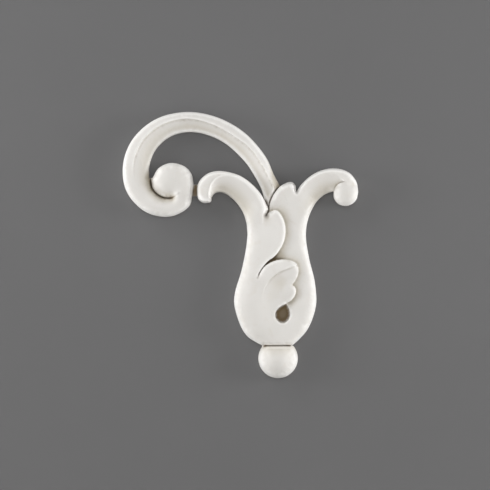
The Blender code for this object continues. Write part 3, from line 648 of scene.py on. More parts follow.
def body_height(d, p):
    """Pear-shaped body with its two leaves, the folded fan leaf, the arms and the teardrop recess."""
    x, z = p.T
    to_side, _ = near(p, closed(d["body_side"]))
    up_arm = ease(WAIST, ARM_ROOT, z)
    width = BODY_ROUNDING + (ARM_ROUNDING - BODY_ROUNDING) * up_arm
    slope = BODY_SLOPE + (ARM_ROUNDING - BODY_SLOPE) * up_arm
    rise = RELIEF_DEPTH - ARRIS_DROP * up_arm
    edge = BODY_EDGE + (LAP_EDGE - BODY_EDGE) * ease(LAP_FADE, 0, near(p, d["lap_line"])[0])
    base = edge + (rise - edge) * swell(to_side, width, slope)
    at_foot = (x > NECK_LEFT[0]) & (x < NECK_RIGHT[0])
    base = base - FOOT_DROP * (1 - shoulder(z - NECK_LEFT[1], FOOT_ROUNDING)) * at_foot
    dish_x, dish_z = (x - DISH_CENTRE[0]) / DISH_SPREAD[0], (z - DISH_CENTRE[1]) / DISH_SPREAD[1]
    base = base - DISH_DEPTH * np.exp(-((dish_x**2 + dish_z**2) ** DISH_FLATNESS))

    to_edge, _ = near(p, d["edge"])
    to_lobe, _ = near(p, d["lobe_edge"])
    lower = within(p, d["lower"]) & (to_edge > ON_LINE)
    lobe = LOBE_DISH * bump(to_lobe - LOBE_DISH_INSET, LOBE_DISH_SPREAD)
    lobe = lobe * ease(*LOBE_DISH_FROM, z) * ease(*LOBE_DISH_TO, z) * ease(*LOBE_DISH_SIDE, x)
    upper = base - lobe - EDGE_DROP * np.clip(1 - to_edge * UNIT / EDGE_BEVEL, 0, 1)
    to_vein, _ = near(p, d["vein"])
    under = within(p, d["under_vein"]) & (to_vein > ON_LINE)
    fade = ease(*VEIN_FADE, z)
    hx, hz = x - FAN_HOLLOW_CENTRE[0], z - FAN_HOLLOW_CENTRE[1]
    cross = (hx + hz * FAN_HOLLOW_TILT) / FAN_HOLLOW_SPREAD[0]
    up = (hz - hx * FAN_HOLLOW_TILT) / FAN_HOLLOW_SPREAD[1]
    upper = upper - FAN_HOLLOW * np.exp(-(cross**2 + up**2))
    fold = np.where(under, -np.exp(-to_vein / VEIN_SPREAD), VEIN_RISE * bump(to_vein, VEIN_SPREAD))
    upper = upper + fade * (VEIN_STEP * fold - VEIN_CUT * bump(to_vein, CUT_SPREAD))

    to_step, _ = near(p, d["step_line"])
    keep = ease(CHANNEL_END, 0, z)
    channel = CHANNEL_DEPTH * bump(to_step, CHANNEL_SPREAD) + FOOT_OF_STEP
    channel = channel + CLEFT_DEPTH * bump(to_lobe + near(p, d["fan"])[0], CLEFT_WIDTH)
    height = np.where(lower, base - channel * keep, upper)

    left = ease(*LEFT_FADE, (p - LEFT_ROOT) @ LEFT_WAY) * ease(*MIDDLE, x)
    lines = (d["left_arris"], d["left_inner"], d["left_area"])
    arm, inside = arm_height(p, *lines, SCOOP_DEPTH * left, LEFT_BACK_FALL * left)
    cut = ARRIS_CUT * np.exp(-near(p, d["left_arris"])[0] / VEIN_SPREAD)
    arm = arm - cut * ease(*ARRIS_CUT_FADE, x) * ~inside
    rounding = np.where(inside, INNER_ROUNDING, TIP_ROUNDING)
    arm = BODY_EDGE + (arm - BODY_EDGE) * shoulder(to_side, rounding + ARM_ROUNDING * (1 - left))
    height = height * (1 - left) + arm * left

    right = ease(*RIGHT_FADE, (p - RIGHT_ROOT) @ RIGHT_WAY) * ease(*RIGHT_SIDE, x) * (z > WAIST)
    inner = join(d["right_inner"], d["curl_line"][1:])
    depth = SCOOP_DEPTH * right * (1 - SCOOP_FADE * ease(SCOOP_FADE_FROM, SCOOP_FADE_TO, x))
    arm, inside = arm_height(p, d["right_arris"], inner, d["right_area"], depth, RIGHT_BACK_FALL * right)
    rounding = np.where(inside, INNER_ROUNDING, TIP_ROUNDING)
    arm = BODY_EDGE + (arm - BODY_EDGE) * shoulder(to_side, rounding + ARM_ROUNDING * (1 - right))
    wrap = np.where(inside | (x < CURL_START), 1, ease(*CURL_WRAP, z - (x - CURL_CENTRE[0]) * CURL_TILT))
    out = apart(p, CURL_CENTRE) / CURL_RADIUS
    curl = (RELIEF_DEPTH - BODY_EDGE) * np.sqrt(np.clip(1 - out**2, 0, 1))
    arm = BODY_EDGE + soft_max((arm - BODY_EDGE) * wrap, curl)
    to_curl, _ = near(p, d["curl_line"])
    arm = arm - CURL_CUT * bump(to_curl, CUT_SPREAD)
    height = height * (1 - right) + arm * right

    to_eye, _ = near(p, d["eye"])
    height = height + EYE_LIP * bump(to_eye, EYE_LIP_SPREAD)
    sunk = height - (height - EYE_FLOOR) * ease(0.0, EYE_WALL, to_eye * UNIT)
    return np.where(within(p, d["eye"]), sunk, height)


def ball_height(d, p):
    """Half ball under the bulb, flat where it meets the seam."""
    centre, radius = ball_place()
    round_share = np.sqrt(np.clip(1 - (apart(p, centre) / radius) ** 2, 0, 1))
    cut = BALL_CUT_DROP * (1 - shoulder(SEAM - p[:, 1], BALL_CUT_ROUNDING)) * (round_share > 0)
    return BALL_EDGE + (RELIEF_DEPTH - BALL_EDGE) * round_share - cut


# Name and height rule of each form; those with rounded edges come first
ROUNDED_FORMS = 3
FORMS = (
    ("scroll", scroll_height),
    ("body", body_height),
    ("ball", ball_height),
    ("neck", lambda d, p: np.full(len(p), NECK_HEIGHT)),
    ("web", lambda d, p: np.full(len(p), WEB_HEIGHT)),
)


def relief(d, p):
    """Height of the ornament off its back in metres, below 0 outside it."""
    height = np.full(len(p), -1.0)
    for name, rule in FORMS:
        here = within(p, d[name]) | (near(p, closed(d[name]))[0] < ON_LINE)
        if here.any():
            height[here] = np.maximum(height[here], rule(d, p[here]))
    return height


def inside_any(d, p):
    """True for points inside one of the outlines."""
    return np.logical_or.reduce([within(p, d[name]) for name, _ in FORMS])


def beside(line, distance):
    """Row of points to the left of a line, where it keeps its distance."""
    ahead = np.gradient(line, axis=0)
    ahead /= np.maximum(np.hypot(*ahead.T), 1e-9)[:, None]
    row = line + distance * np.column_stack([-ahead[:, 1], ahead[:, 0]])
    return row[near(row, line)[0] > abs(distance) * KEPT_DISTANCE]


def line_tree(lines):
    """Search tree over points set closely along the lines."""
    samples = np.vstack([sampled(line, LINE_SAMPLING) for line in lines])
    tree = KDTree(len(samples))
    for i, (x, z) in enumerate(samples):
        tree.insert((x, z, 0), i)
    tree.balance()
    return tree


def clear_of(points, lines):
    """Distance of each point from the nearest of several lines."""
    tree = line_tree(lines)
    return np.array([tree.find((x, z, 0))[2] for x, z in points.tolist()])


def thin_out(rows, fixed):
    """Points of the rows that stand clear of the fixed lines and of one another."""
    tree = line_tree(fixed)
    kept, cells = [], {}
    for points, clear_line, clear_point in rows:
        for x, z in points.tolist():
            if tree.find((x, z, 0))[2] < clear_line:
                continue
            i, k = round(x), round(z)
            block = [q for a in (i - 1, i, i + 1) for b in (k - 1, k, k + 1) for q in cells.get((a, b), ())]
            if all((x - qx) ** 2 + (z - qz) ** 2 > clear_point**2 for qx, qz in block):
                cells.setdefault((i, k), []).append((x, z))
                kept.append((x, z))
    return kept


def surface_rows(d, fineness):
    """Rows of points that catch the rounded edges and the steps, then an even field."""
    outlines = [sampled(closed(d[name]), LONGEST_EDGE) for name, _ in FORMS]
    steps = [d[name] for name in STEP_LINES]
    rows = []
    for line in steps + outlines:
        for gap in STEP_ROWS:
            for side in (gap, -gap):
                row = beside(line, side)
                spacing = min(gap, fineness * STEP_SPACING)
                rows.append((row[inside_any(d, row)], gap * ROW_FROM_LINE, spacing))
    for line in outlines[:ROUNDED_FORMS]:
        for k in range(2, EDGE_ROWS + 1):
            gap = EDGE_REACH * (k / EDGE_ROWS) ** 2
            for side in (gap, -gap):
                row = beside(line, side)
                rows.append((row[inside_any(d, row)], gap * ROW_FROM_LINE, fineness * EDGE_SPACING))
    every = np.vstack(outlines)
    low, high = every.min(axis=0), every.max(axis=0)
    row_step = fineness * ROW_PITCH
    across, up = np.meshgrid(np.arange(low[0], high[0], fineness), np.arange(low[1], high[1], row_step))
    across[1::2] += fineness / 2
    field = np.column_stack([across.ravel(), up.ravel()])
    rows.append((field[inside_any(d, field)], fineness * FIELD_FROM_LINE, fineness * FIELD_SPACING))
    return rows, outlines + steps


def surface_net(d, fineness):
    """Triangles over the drawing that follow every outline and feature line."""
    rows, fixed = surface_rows(d, fineness)
    coords, edges = [], []
    for line in fixed:
        first = len(coords)
        coords += [tuple(q) for q in line]
        edges += [(i, i + 1) for i in range(first, len(coords) - 1)]
    coords += thin_out(rows, fixed)
    verts, _, faces, *_ = delaunay_2d_cdt(coords, edges, [], 0, MERGED_WITHIN)
    points = np.array([tuple(v) for v in verts])
    faces = np.array([tuple(f) for f in faces])
    faces = faces[inside_any(d, points[faces].mean(axis=1))]
    used = np.unique(faces)
    renumber = np.full(len(points), -1)
    renumber[used] = np.arange(len(used))
    return points[used], renumber[faces]


def border_edges(faces):
    """Edges of the net that only one triangle has, turned as that triangle turns."""
    one_way = {(a, b) for f in faces.tolist() for a, b in ((f[0], f[1]), (f[1], f[2]), (f[2], f[0]))}
    return sorted((a, b) for a, b in one_way if (b, a) not in one_way)


def back_net(points, border, rim):
    """Triangles that close the flat back, from the rim's points alone."""
    index = {a: i for i, a in enumerate(rim)}
    flat = points[rim]
    edges = [(index[a], index[b]) for a, b in border]
    _, _, faces, *_ = delaunay_2d_cdt([tuple(q) for q in flat], edges, [], 0, MERGED_AT_BACK)
    faces = np.array([tuple(f) for f in faces])
    middle = flat[faces].mean(axis=1)
    inside = np.zeros(len(middle), bool)
    for a, b in border:
        (ax, az), (bx, bz) = points[a], points[b]
        x, z = middle.T
        if az != bz:
            inside ^= ((az > z) != (bz > z)) & (x < (bx - ax) * (z - az) / (bz - az) + ax)
    return faces[inside]


def settle(values, pairs, rounds, free=1.0):
    """Values evened out with those of their neighbours, round by round, where they are free to."""
    count = np.bincount(pairs.ravel(), minlength=len(values)).astype(float)
    for _ in range(rounds):
        total = np.bincount(pairs[:, 0], values[pairs[:, 1]], len(values))
        total += np.bincount(pairs[:, 1], values[pairs[:, 0]], len(values))
        values = values + free * ((values + total) / (count + 1) - values)
    return values


def cleft_masks(d, points):
    """Painted shade: a dark floor of the cleft between the lobe and the fan leaf, and softer shade in and
    round it.
    """
    to_fan, _ = near(points, d["fan"])
    gap = near(points, d["lobe_edge"])[0] + to_fan
    here = within(points, d["lower"]) * ease(*CLEFT_END, points[:, 1])
    by_fan = CLEFT_BY_FAN_SHARE * ease(*CLEFT_BY_FAN, to_fan) * ease(*CLEFT_BY_FAN_END, gap)
    return here * np.maximum(ease(*CLEFT_DARK, gap), by_fan), here * ease(*CLEFT_SHADE, gap)


def scoop_shade(d, points):
    """Painted shade toward the inner edge of the two scooped arms."""
    soft_shade = np.zeros(len(points))
    arms = (("left", LEFT_ROOT, LEFT_WAY, LEFT_FADE), ("right", RIGHT_ROOT, RIGHT_WAY, RIGHT_FADE))
    for side, root, way, fade in arms:
        across = share(near(points, d[side + "_arris"])[0], near(points, d[side + "_inner"])[0])
        on_arm = within(points, d[side + "_area"]) * ease(*fade, (points - root) @ way)
        soft_shade = np.maximum(soft_shade, on_arm * ease(*SCOOP_SHADE, across))
    return soft_shade


def painted_edge_highlights(d, points, height, to_border, off_crevice):
    """Painted highlight on the bevels, the rim and the left arris."""
    z = points[:, 1]
    bevel = np.zeros(len(points))
    for line, reach, ends in (("lobe_edge", LOBE_BEVEL, LOBE_BEVEL_ENDS), ("fan", FAN_BEVEL, FAN_BEVEL_ENDS)):
        between_ends = ease(*ends[0], z) * ease(*ends[1], z)
        bevel = np.maximum(bevel, ease(*reach, near(points, d[line])[0]) * between_ends)
    bevel = BEVEL_SHARE * bevel * ~within(points, d["lower"])
    rim = RIM_HIGHLIGHT_SHARE * ease(*RIM_HIGHLIGHT, to_border) * ease(*RIM_HIGHLIGHT_LEVEL, height)
    arris = ARRIS_HIGHLIGHT_SHARE * ease(*ARRIS_HIGHLIGHT, near(points, d["left_arris"])[0])
    return (rim + arris) * off_crevice + bevel


def painted_light_masks(d, points, pairs, height, to_rim, to_border):
    """Shares of painted shade and painted highlight at each point of the relief, and its front face, each
    from 0 to 1.
    """

    def softened(kind, values):
        return settle(values, pairs, SOFTENING[kind])

    near_level = settle(height, pairs, NEAR_ROUNDS)
    further_level = settle(near_level, pairs, FURTHER_ROUNDS)
    wide_level = settle(height, pairs, WIDE_ROUNDS)
    on_band = within(points, d["scroll"]) & ~within(points, d["body_side"])
    on_rim = on_band & within(points, d["rim_area"])
    on_slope = on_band & ~within(points, d["whorl_area"])
    to_leaf, _ = near(points, d["lap_line"])
    to_inner, _ = near(points, d["inner"])
    to_crevice, along_crevice = near(points, d["crevice"])
    off_crevice = ease(*OFF_CREVICE_FADE, to_crevice)
    cleft, cleft_shade = cleft_masks(d, points)
    at_edge = ease(*EDGE_SHADE, to_border) * ease(*EDGE_SHADE_END, to_leaf)
    # Soft painted shade by each place: beside the leaf and its edge, in the cleft, into the crevice, on the
    # band's left slope, on the ball under the seam and in the scoops
    shade_by_place = {
        "leaves": on_rim * (ease(*LEAF_SHADE, to_leaf) + at_edge),
        "cleft": cleft_shade,
        "crevice": on_slope * ease(*CREVICE_SHADE, to_crevice) * ease(*CREVICE_SHADE_END, along_crevice),
        "band": (on_slope & ~on_rim) * ease(*BAND_SHADE, to_inner) * ease(*BAND_SHADE_END, points[:, 0]),
        "ball": within(points, d["ball"]) * ease(*BALL_SHADE, SEAM - points[:, 1]),
        "scoops": scoop_shade(d, points),
    }
    soft_shade = np.clip(sum(SHADE_STRENGTH[place] * values for place, values in shade_by_place.items()), 0, 1)
    # Painted shade beside the leaf and in the crevice's outer corner
    by_leaf = SHADE_BY_LEAF_SHARE * on_rim * ease(*SHADE_BY_LEAF, to_leaf)
    in_corner = SHADE_IN_CORNER_SHARE * ease(*SHADE_IN_CORNER, apart(points, CREVICE[0]))
    corner_shade = softened("corner_shade", np.maximum(by_leaf, in_corner))

    # Painted shade: broad hollows below the wide level darken
    hollow = softened("hollow", np.clip((wide_level - height) / HOLLOW_DEPTH, 0, 1))
    # Painted shade in narrow creases below the near level
    crease = np.clip((near_level - height) / CREASE_DEPTH - CREASE_START, 0, 1)
    crease = softened("crease", crease * ease(*CREASE_FADE, to_border))
    # Painted highlight on edges that stand above the near level, and on the bevels, the rim and the left
    # arris
    proud = np.clip((height - near_level) / CREASE_DEPTH - CREASE_START, 0, 1)
    crest = softened("proud", PROUD_GAIN * proud) + painted_edge_highlights(d, points, height, to_border, off_crevice)
    # Painted shade in deep places and on the cleft's floor
    deep = ease(*DEEP_LEVEL, height) * ease(*DEEP_BELOW, further_level - height) * ease(*DEEP_FADE, to_border)
    deep = np.maximum(deep * (DEEP_BY_CREVICE + (1 - DEEP_BY_CREVICE) * off_crevice), softened("cleft", cleft))
    return {
        "front": ease(*FRONT_FADE, to_rim),
        "hollow": np.maximum(hollow * ease(*HOLLOW_FADE, to_border), softened("soft_shade", soft_shade)),
        "crease": np.maximum(crease, corner_shade),
        "crest": np.clip(crest, 0, 1) * (1 - soft_shade),
        # Painted shade on the low web and in the teardrop recess
        "deep": np.maximum(deep, within(points, d["web"]) * (height < WEB_SHADED_UP_TO)),
        "recess": within(points, d["eye"]) * ease(*RECESS_FADE, near(points, d["eye"])[0]),
    }


def rim_lines(d):
    """Outlines of the body and the ball, and the band's where the body doesn't cover it."""
    band = closed(d["scroll"])
    shown = ~within((band[:-1] + band[1:]) / 2, d["body_side"])
    open_band = [band[i:i + 2] for i in np.flatnonzero(shown)]
    return [closed(d["body_side"]), closed(d["ball"])] + open_band


def cast_mesh(fineness):
    """Closed mesh of the ornament: relief in front, walls round it and a flat back, with its front mask and
    its masks of painted shade and painted highlight.
    """
    d = drawing()
    points, faces = surface_net(d, fineness)
    pairs = np.unique(np.sort(np.vstack([faces[:, :2], faces[:, 1:], faces[:, ::2]]), axis=1), axis=0)
    border = border_edges(faces)
    rim = sorted({a for a, _ in border})
    to_steps = clear_of(points, [d[name] for name in STEP_LINES])
    to_rim = clear_of(points, rim_lines(d))
    to_border = clear_of(points, [points[list(edge)] for edge in border])
    open_face = ease(*SOFT_FROM_STEPS, to_steps) * ease(*SOFT_FROM_RIM, to_rim)
    height = settle(np.maximum(relief(d, points), LEAST_HEIGHT), pairs, SOFT_ROUNDS, open_face)
    behind = {a: len(points) + i for i, a in enumerate(rim)}
    walls = [(b, a, behind[a], behind[b]) for a, b in border]
    closing = [tuple(behind[rim[i]] for i in f[::-1]) for f in back_net(points, border, rim).tolist()]
    front = np.column_stack([points[:, 0] * UNIT, -height, points[:, 1] * UNIT])
    rear = np.column_stack([points[rim, 0] * UNIT, np.zeros(len(rim)), points[rim, 1] * UNIT])
    low, high = (np.array(corner) for corner in CAD_BOX)
    verts = np.clip(np.vstack([front, rear]), low, high)

    mesh = bpy.data.meshes.new(PIECE)
    mesh.from_pydata(verts.tolist(), [], [tuple(f) for f in faces.tolist()] + walls + closing)
    mesh.update()
    mesh.shade_smooth()
    mesh.set_sharp_from_angle(angle=SHARP_ANGLE)
    for name, values in painted_light_masks(d, points, pairs, height, to_rim, to_border).items():
        held = mesh.attributes.new(name, "FLOAT", "POINT")
        held.data.foreach_set("value", np.concatenate([values, np.zeros(len(rim))]).astype(np.float32))
    return mesh


def sockets(tree, way, kind, names):
    """New named sockets of one kind on a node group, with their first values where they have one."""
    for name, default in names.items():
        made = tree.interface.new_socket(name=name, in_out=way, socket_type=kind)
        if default is not None:
            made.default_value = default


def put(tree, value, target):
    """Sets an input from another node's output or from a plain value."""
    if isinstance(value, bpy.types.NodeSocket):
        tree.links.new(value, target)
    else:
        target.default_value = value


def fill(tree, node, values):
    """Sets several of a node's inputs by name."""
    for name, value in values.items():
        put(tree, value, node.inputs[name])


def add(tree, kind, place, values=None, **settings):
    """New node in a tree, with its settings and the values of its inputs."""
    node = tree.nodes.new(kind)
    node.location = place
    for name, value in settings.items():
        setattr(node, name, value)
    fill(tree, node, values or {})
    return node


def math_node(tree, operation, a, b, place, c=None):
    """Sum, product or other plain operation on two or three numbers."""
    node = add(tree, "ShaderNodeMath", place, operation=operation)
    for value, target in zip((a, b, c), node.inputs):
        if value is not None:
            put(tree, value, target)
    return node.outputs[0]


def uneven_tree():
    """Geometry node tree that lets a cast face sink a little here and there, as from a hand-filled mould."""
    tree = bpy.data.node_groups.new("uneven_casting", "GeometryNodeTree")
    sockets(tree, "INPUT", "NodeSocketGeometry", {"Geometry": None})
    sockets(tree, "INPUT", "NodeSocketFloat", {
        "Wave Depth": 0.0002, "Wave Size": 0.02, "Dimple Depth": 0.00008, "Dimple Size": 0.006, "Seed": 7.0})
    sockets(tree, "INPUT", "NodeSocketMaterial", {"Material": None})
    sockets(tree, "OUTPUT", "NodeSocketGeometry", {"Geometry": None})
    start = add(tree, "NodeGroupInput", (-900, 0)).outputs
    position = add(tree, "GeometryNodeInputPosition", (-700, -300)).outputs[0]
    normal = add(tree, "GeometryNodeInputNormal", (0, -420)).outputs[0]
    front = add(tree, "GeometryNodeInputNamedAttribute", (-300, -520), {"Name": "front"}, data_type="FLOAT")
    sunk = []
    for k, form in enumerate(("Wave", "Dimple")):
        down = -120 - 260 * k
        scale = math_node(tree, "DIVIDE", 1.0, start[form + " Size"], (-700, down))
        noise = add(tree, "ShaderNodeTexNoise", (-500, down), noise_dimensions="4D")
        fill(tree, noise, {"Vector": position, "W": start["Seed"], "Scale": scale, "Detail": 1.0})
        sunk.append(math_node(tree, "MULTIPLY", noise.outputs[0], start[form + " Depth"], (-260, down)))
    depth = math_node(tree, "ADD", *sunk, (-80, -160))
    depth = math_node(tree, "MULTIPLY", depth, front.outputs["Attribute"], (80, -160))
    inward = add(tree, "ShaderNodeVectorMath", (240, -200), operation="SCALE")
    put(tree, normal, inward.inputs[0])
    put(tree, math_node(tree, "MULTIPLY", depth, -1.0, (160, -40)), inward.inputs["Scale"])
    moved = add(tree, "GeometryNodeSetPosition", (400, 0), {
        "Geometry": start["Geometry"], "Offset": inward.outputs[0]})
    whole = add(tree, "GeometryNodeRealizeInstances", (560, 0), {"Geometry": moved.outputs[0]})
    dressed = add(tree, "GeometryNodeSetMaterial", (720, 0), {
        "Geometry": whole.outputs[0], "Material": start["Material"]})
    add(tree, "NodeGroupOutput", (900, 0), {"Geometry": dressed.outputs[0]})
    return tree


def made_plain(source, values):
    """Plain mesh of an object worked by the uneven-casting tree, with the tree's inputs set by identifier."""
    tree = uneven_tree()
    holder = bpy.data.objects.new("holder", source)
    bpy.context.scene.collection.objects.link(holder)
    worked = holder.modifiers.new("uneven", "NODES")
    worked.node_group = tree
    for item in tree.interface.items_tree:
        if item.in_out == "INPUT" and item.name in values:
            worked[item.identifier] = values[item.name]
    bpy.context.view_layer.update()
    depsgraph = bpy.context.evaluated_depsgraph_get()
    seen = holder.evaluated_get(depsgraph)
    mesh = bpy.data.meshes.new_from_object(seen, preserve_all_data_layers=True, depsgraph=depsgraph)
    bpy.data.objects.remove(holder)
    mesh.name = PIECE
    return mesh


def mottle_group():
    """Shader group: soft clouds, brown blotches, fine grain and pits, in Object coordinates."""
    tree = bpy.data.node_groups.new("mineral_mottle", "ShaderNodeTree")
    sockets(tree, "INPUT", "NodeSocketFloat", {"Cloud Size": 0.06, "Blotch Size": 0.02, "Grain Size": 0.0015})
    sockets(tree, "OUTPUT", "NodeSocketFloat", dict.fromkeys(("Clouds", "Blotches", "Grain", "Pits")))
    start = add(tree, "NodeGroupInput", (-900, 0)).outputs
    coords = add(tree, "ShaderNodeTexCoord", (-900, -300)).outputs["Object"]

    def noise(size, detail, rough, distortion, down):
        scale = math_node(tree, "DIVIDE", 1.0, start[size], (-680, down))
        node = add(tree, "ShaderNodeTexNoise", (-500, down), {"Vector": coords, "Scale": scale})
        fill(tree, node, {"Detail": detail, "Roughness": rough, "Distortion": distortion})
        return node.outputs[0]

    def stretched(value, low, high, down):
        limits = {"Value": value, "From Min": low, "From Max": high}
        node = add(tree, "ShaderNodeMapRange", (-200, down), limits, interpolation_type="SMOOTHSTEP")
        return node.outputs[0]

    clouds = noise("Cloud Size", 3.0, 0.5, 0.4, 200)
    blotches = noise("Blotch Size", 5.0, 0.62, 0.8, -50)
    pits = add(tree, "ShaderNodeTexVoronoi", (-500, -560), feature="F1")
    fill(tree, pits, {"Vector": coords, "Scale": PITS_A_METRE})
    add(tree, "NodeGroupOutput", (500, 0), {
        "Clouds": stretched(clouds, 0.3, 0.7, 200),
        "Blotches": stretched(blotches, 0.52, 0.72, -50),
        "Grain": noise("Grain Size", 3.0, 0.6, 0.0, -300),
        "Pits": stretched(pits.outputs["Distance"], 0.16, 0.05, -560),
    })
    return tree


def blended(tree, amount, first, second, place):
    """Colour between two, by an amount from 0 to 1."""
    colours = {"Factor": amount, "A": first, "B": second}
    return add(tree, "ShaderNodeMix", place, colours, data_type="RGBA").outputs["Result"]


def plaster_material(look):
    """Pale cast plaster with painted warm shade in its hollows, creases and recess, painted highlight on its
    crests, and a fine grain.
    """
    material = bpy.data.materials.new("cast_plaster")
    material.use_nodes = True
    tree = material.node_tree
    group = add(tree, "ShaderNodeGroup", (-900, 300), node_tree=mottle_group())
    fill(tree, group, {"Cloud Size": 0.075, "Blotch Size": 0.022, "Grain Size": 0.0016})
    mottle = group.outputs
    masks = {"Blotches": mottle["Blotches"], "Pits": mottle["Pits"]}
    for k, name in enumerate(("hollow", "crease", "deep", "crest", "recess")):
        held = add(tree, "ShaderNodeAttribute", (-900, -100 - 150 * k), attribute_name=name)
        masks[name] = held.outputs["Fac"]
    plaster, cloud = tuple(look.cast_colour), tuple(look.cloud_colour)
    colour = blended(tree, mottle["Clouds"], plaster, cloud, (-500, 300))
    for k, (name, strength, laid) in enumerate(COLOUR_LAYERS):
        across = -300 + 160 * k
        amount = math_node(tree, "MULTIPLY", masks[name], strength, (across - 80, 100))
        colour = blended(tree, amount, colour, tuple(getattr(look, laid)), (across, 300))
    rough = math_node(tree, "MULTIPLY_ADD", mottle["Clouds"], CLOUD_ROUGHNESS, (300, -100), look.roughness)
    rough = math_node(tree, "MULTIPLY_ADD", masks["crease"], CREASE_ROUGHNESS, (500, -100), rough)
    grain = math_node(tree, "MULTIPLY", mottle["Grain"], GRAIN_SHARE, (300, -350))
    pits = math_node(tree, "MULTIPLY", mottle["Pits"], -PIT_SHARE, (300, -500))
    grain_bump = add(tree, "ShaderNodeBump", (700, -350), {
        "Strength": 0.35, "Distance": 0.0004, "Height": math_node(tree, "ADD", grain, pits, (500, -400))})
    shader = tree.nodes["Principled BSDF"]
    shader.location = (900, 0)
    fill(tree, shader, {"Base Color": colour, "Roughness": rough, "Normal": grain_bump.outputs[0],
                        "Specular IOR Level": 0.4})
    return material


def stage_material(name, colour, see_through_back):
    """Matt studio paper; with a see-through back it shows from its front alone."""
    material = bpy.data.materials.new(name)
    material.use_nodes = True
    tree = material.node_tree
    shader = tree.nodes["Principled BSDF"]
    mottle = add(tree, "ShaderNodeGroup", (-700, 0), node_tree=bpy.data.node_groups["mineral_mottle"])
    fill(tree, mottle, {"Cloud Size": 0.5, "Grain Size": 0.003})
    darker = tuple(c * PAPER_SHADE for c in colour[:3]) + (1.0,)
    paper = blended(tree, mottle.outputs["Clouds"], tuple(colour), darker, (-400, 0))
    fill(tree, shader, {"Base Color": paper, "Roughness": 0.9, "Specular IOR Level": 0.1})
    if see_through_back:
        clear = add(tree, "ShaderNodeBsdfTransparent", (300, -200))
        mix = add(tree, "ShaderNodeMixShader", (500, 0))
        facing = add(tree, "ShaderNodeNewGeometry", (100, 200)).outputs["Backfacing"]
        for value, target in zip((facing, shader.outputs[0], clear.outputs[0]), mix.inputs):
            put(tree, value, target)
        put(tree, mix.outputs[0], tree.nodes["Material Output"].inputs["Surface"])
    return material


def four_corners(side, low, high):
    """Corners of a sheet that reaches as far to the left as to the right, in turn."""
    return (-side, low), (side, low), (side, high), (-side, high)


def flat_sheet(name, corners, colour, see_through_back=False):
    """Four-cornered stage sheet."""
    mesh = bpy.data.meshes.new(name)
    mesh.from_pydata(corners, [], [(0, 1, 2, 3)])
    mesh.materials.append(stage_material(name, colour, see_through_back))
    sheet = bpy.data.objects.new(name, mesh)
    bpy.context.scene.collection.objects.link(sheet)


def soft_box(name, turn, rise, power):
    """Square studio light that faces the ornament, turned round it from the front and raised, in degrees."""
    aim = Vector((VIEW_CENTRE[0], 0.0, VIEW_CENTRE[1]))
    turn, rise = math.radians(turn), math.radians(rise)
    way = Vector((math.sin(turn) * math.cos(rise), -math.cos(turn) * math.cos(rise), math.sin(rise)))
    data = bpy.data.lights.new(name, "AREA")
    data.shape, data.size, data.energy = "SQUARE", BOX_SIZE, power
    box = bpy.data.objects.new(name, data)
    box.location = aim + way * BOX_DISTANCE
    box.rotation_euler = (-way).to_track_quat("-Z", "Y").to_euler()
    box.visible_camera = False
    bpy.context.scene.collection.objects.link(box)


def tone(name, description, *rgb):
    """Colour that can be set in the panel."""
    return bpy.props.FloatVectorProperty(
        name=name, description=description, subtype="COLOR", size=4, default=(*rgb, 1.0), min=0.0, max=1.0)


def span(name, description, default, low, high):
    """Length that can be set in the panel, in metres."""
    return bpy.props.FloatProperty(
        name=name, description=description, default=default, min=low, max=high, unit="LENGTH", precision=5)


def wattage(name, description, watts):
    """Power of a light that can be set in the panel."""
    return bpy.props.FloatProperty(name=name, description=description, default=watts, min=0.0, unit="POWER")


class CastSettings(bpy.types.PropertyGroup):
    """Sizes and colours of the casting."""

    fineness: bpy.props.FloatProperty(
        name="Fineness", description="Gap between surface points, in drawing units",
        default=0.8, min=0.5, max=4.0)
    wave_depth: span("Wave depth", "How far the face sinks in its long waves", 0.00022, 0.0, 0.001)
    wave_size: span("Wave size", "Length of the long waves", 0.022, 0.005, 0.2)
    dimple_depth: span("Dimple depth", "How far the small dimples sink", 0.00008, 0.0, 0.001)
    dimple_size: span("Dimple size", "Width of the small dimples", 0.007, 0.003, 0.05)
    cast_colour: tone("Plaster", "Main colour of the casting", 0.78, 0.762, 0.735)
    cloud_colour: tone("Clouds", "Slightly greyer plaster between", 0.73, 0.712, 0.682)
    blotch_colour: tone("Blotches", "Faint brown blotches of age", 0.60, 0.53, 0.43)
    # Painted shade laid in broad hollows
    hollow_shade_colour: tone("Hollows", "Warm tone that gathers in broad hollows", 0.57, 0.52, 0.42)
    # Painted shade laid in the recess and the deep places
    recess_shade_colour: tone("Recess", "Dark brown of the recess and the deep places", 0.145, 0.097, 0.042)
    # Painted shade laid in narrow creases and in the pits
    crease_shade_colour: tone("Creases", "Brown dirt in the narrow creases", 0.25, 0.20, 0.13)
    # Painted highlight laid on crests and edges
    crest_highlight_colour: tone("Crests", "Rubbed high edges", 0.96, 0.95, 0.935)
    roughness: bpy.props.FloatProperty(
        name="Roughness", description="Roughness of the bare plaster", default=0.5, min=0.0, max=1.0)


class StudioSettings(bpy.types.PropertyGroup):
    """Stage, lights and camera."""

    wall_colour: tone("Wall", "Backdrop behind the relief", 0.165, 0.165, 0.168)
    floor_colour: tone("Floor", "Pale floor", 0.72, 0.71, 0.69)
    sky: bpy.props.FloatProperty(
        name="Sky", description="Strength of the even light from all round", default=0.33, min=0.0, max=4.0)
    left_power: wattage("Left", "Power of the left soft box", 33.0)
    right_power: wattage("Right", "Power of the right soft box", 42.0)
    upper_left_power: wattage("Upper left", "Power of the box above on the left", 12.0)
    front_power: wattage("Front", "Power of the box by the camera", 13.0)
    back_power: wattage("Back", "Power of the box behind the wall, for views from behind", 40.0)
    camera_distance: span("Camera distance", "From the wall to the camera", 3.0, 0.5, 20.0)


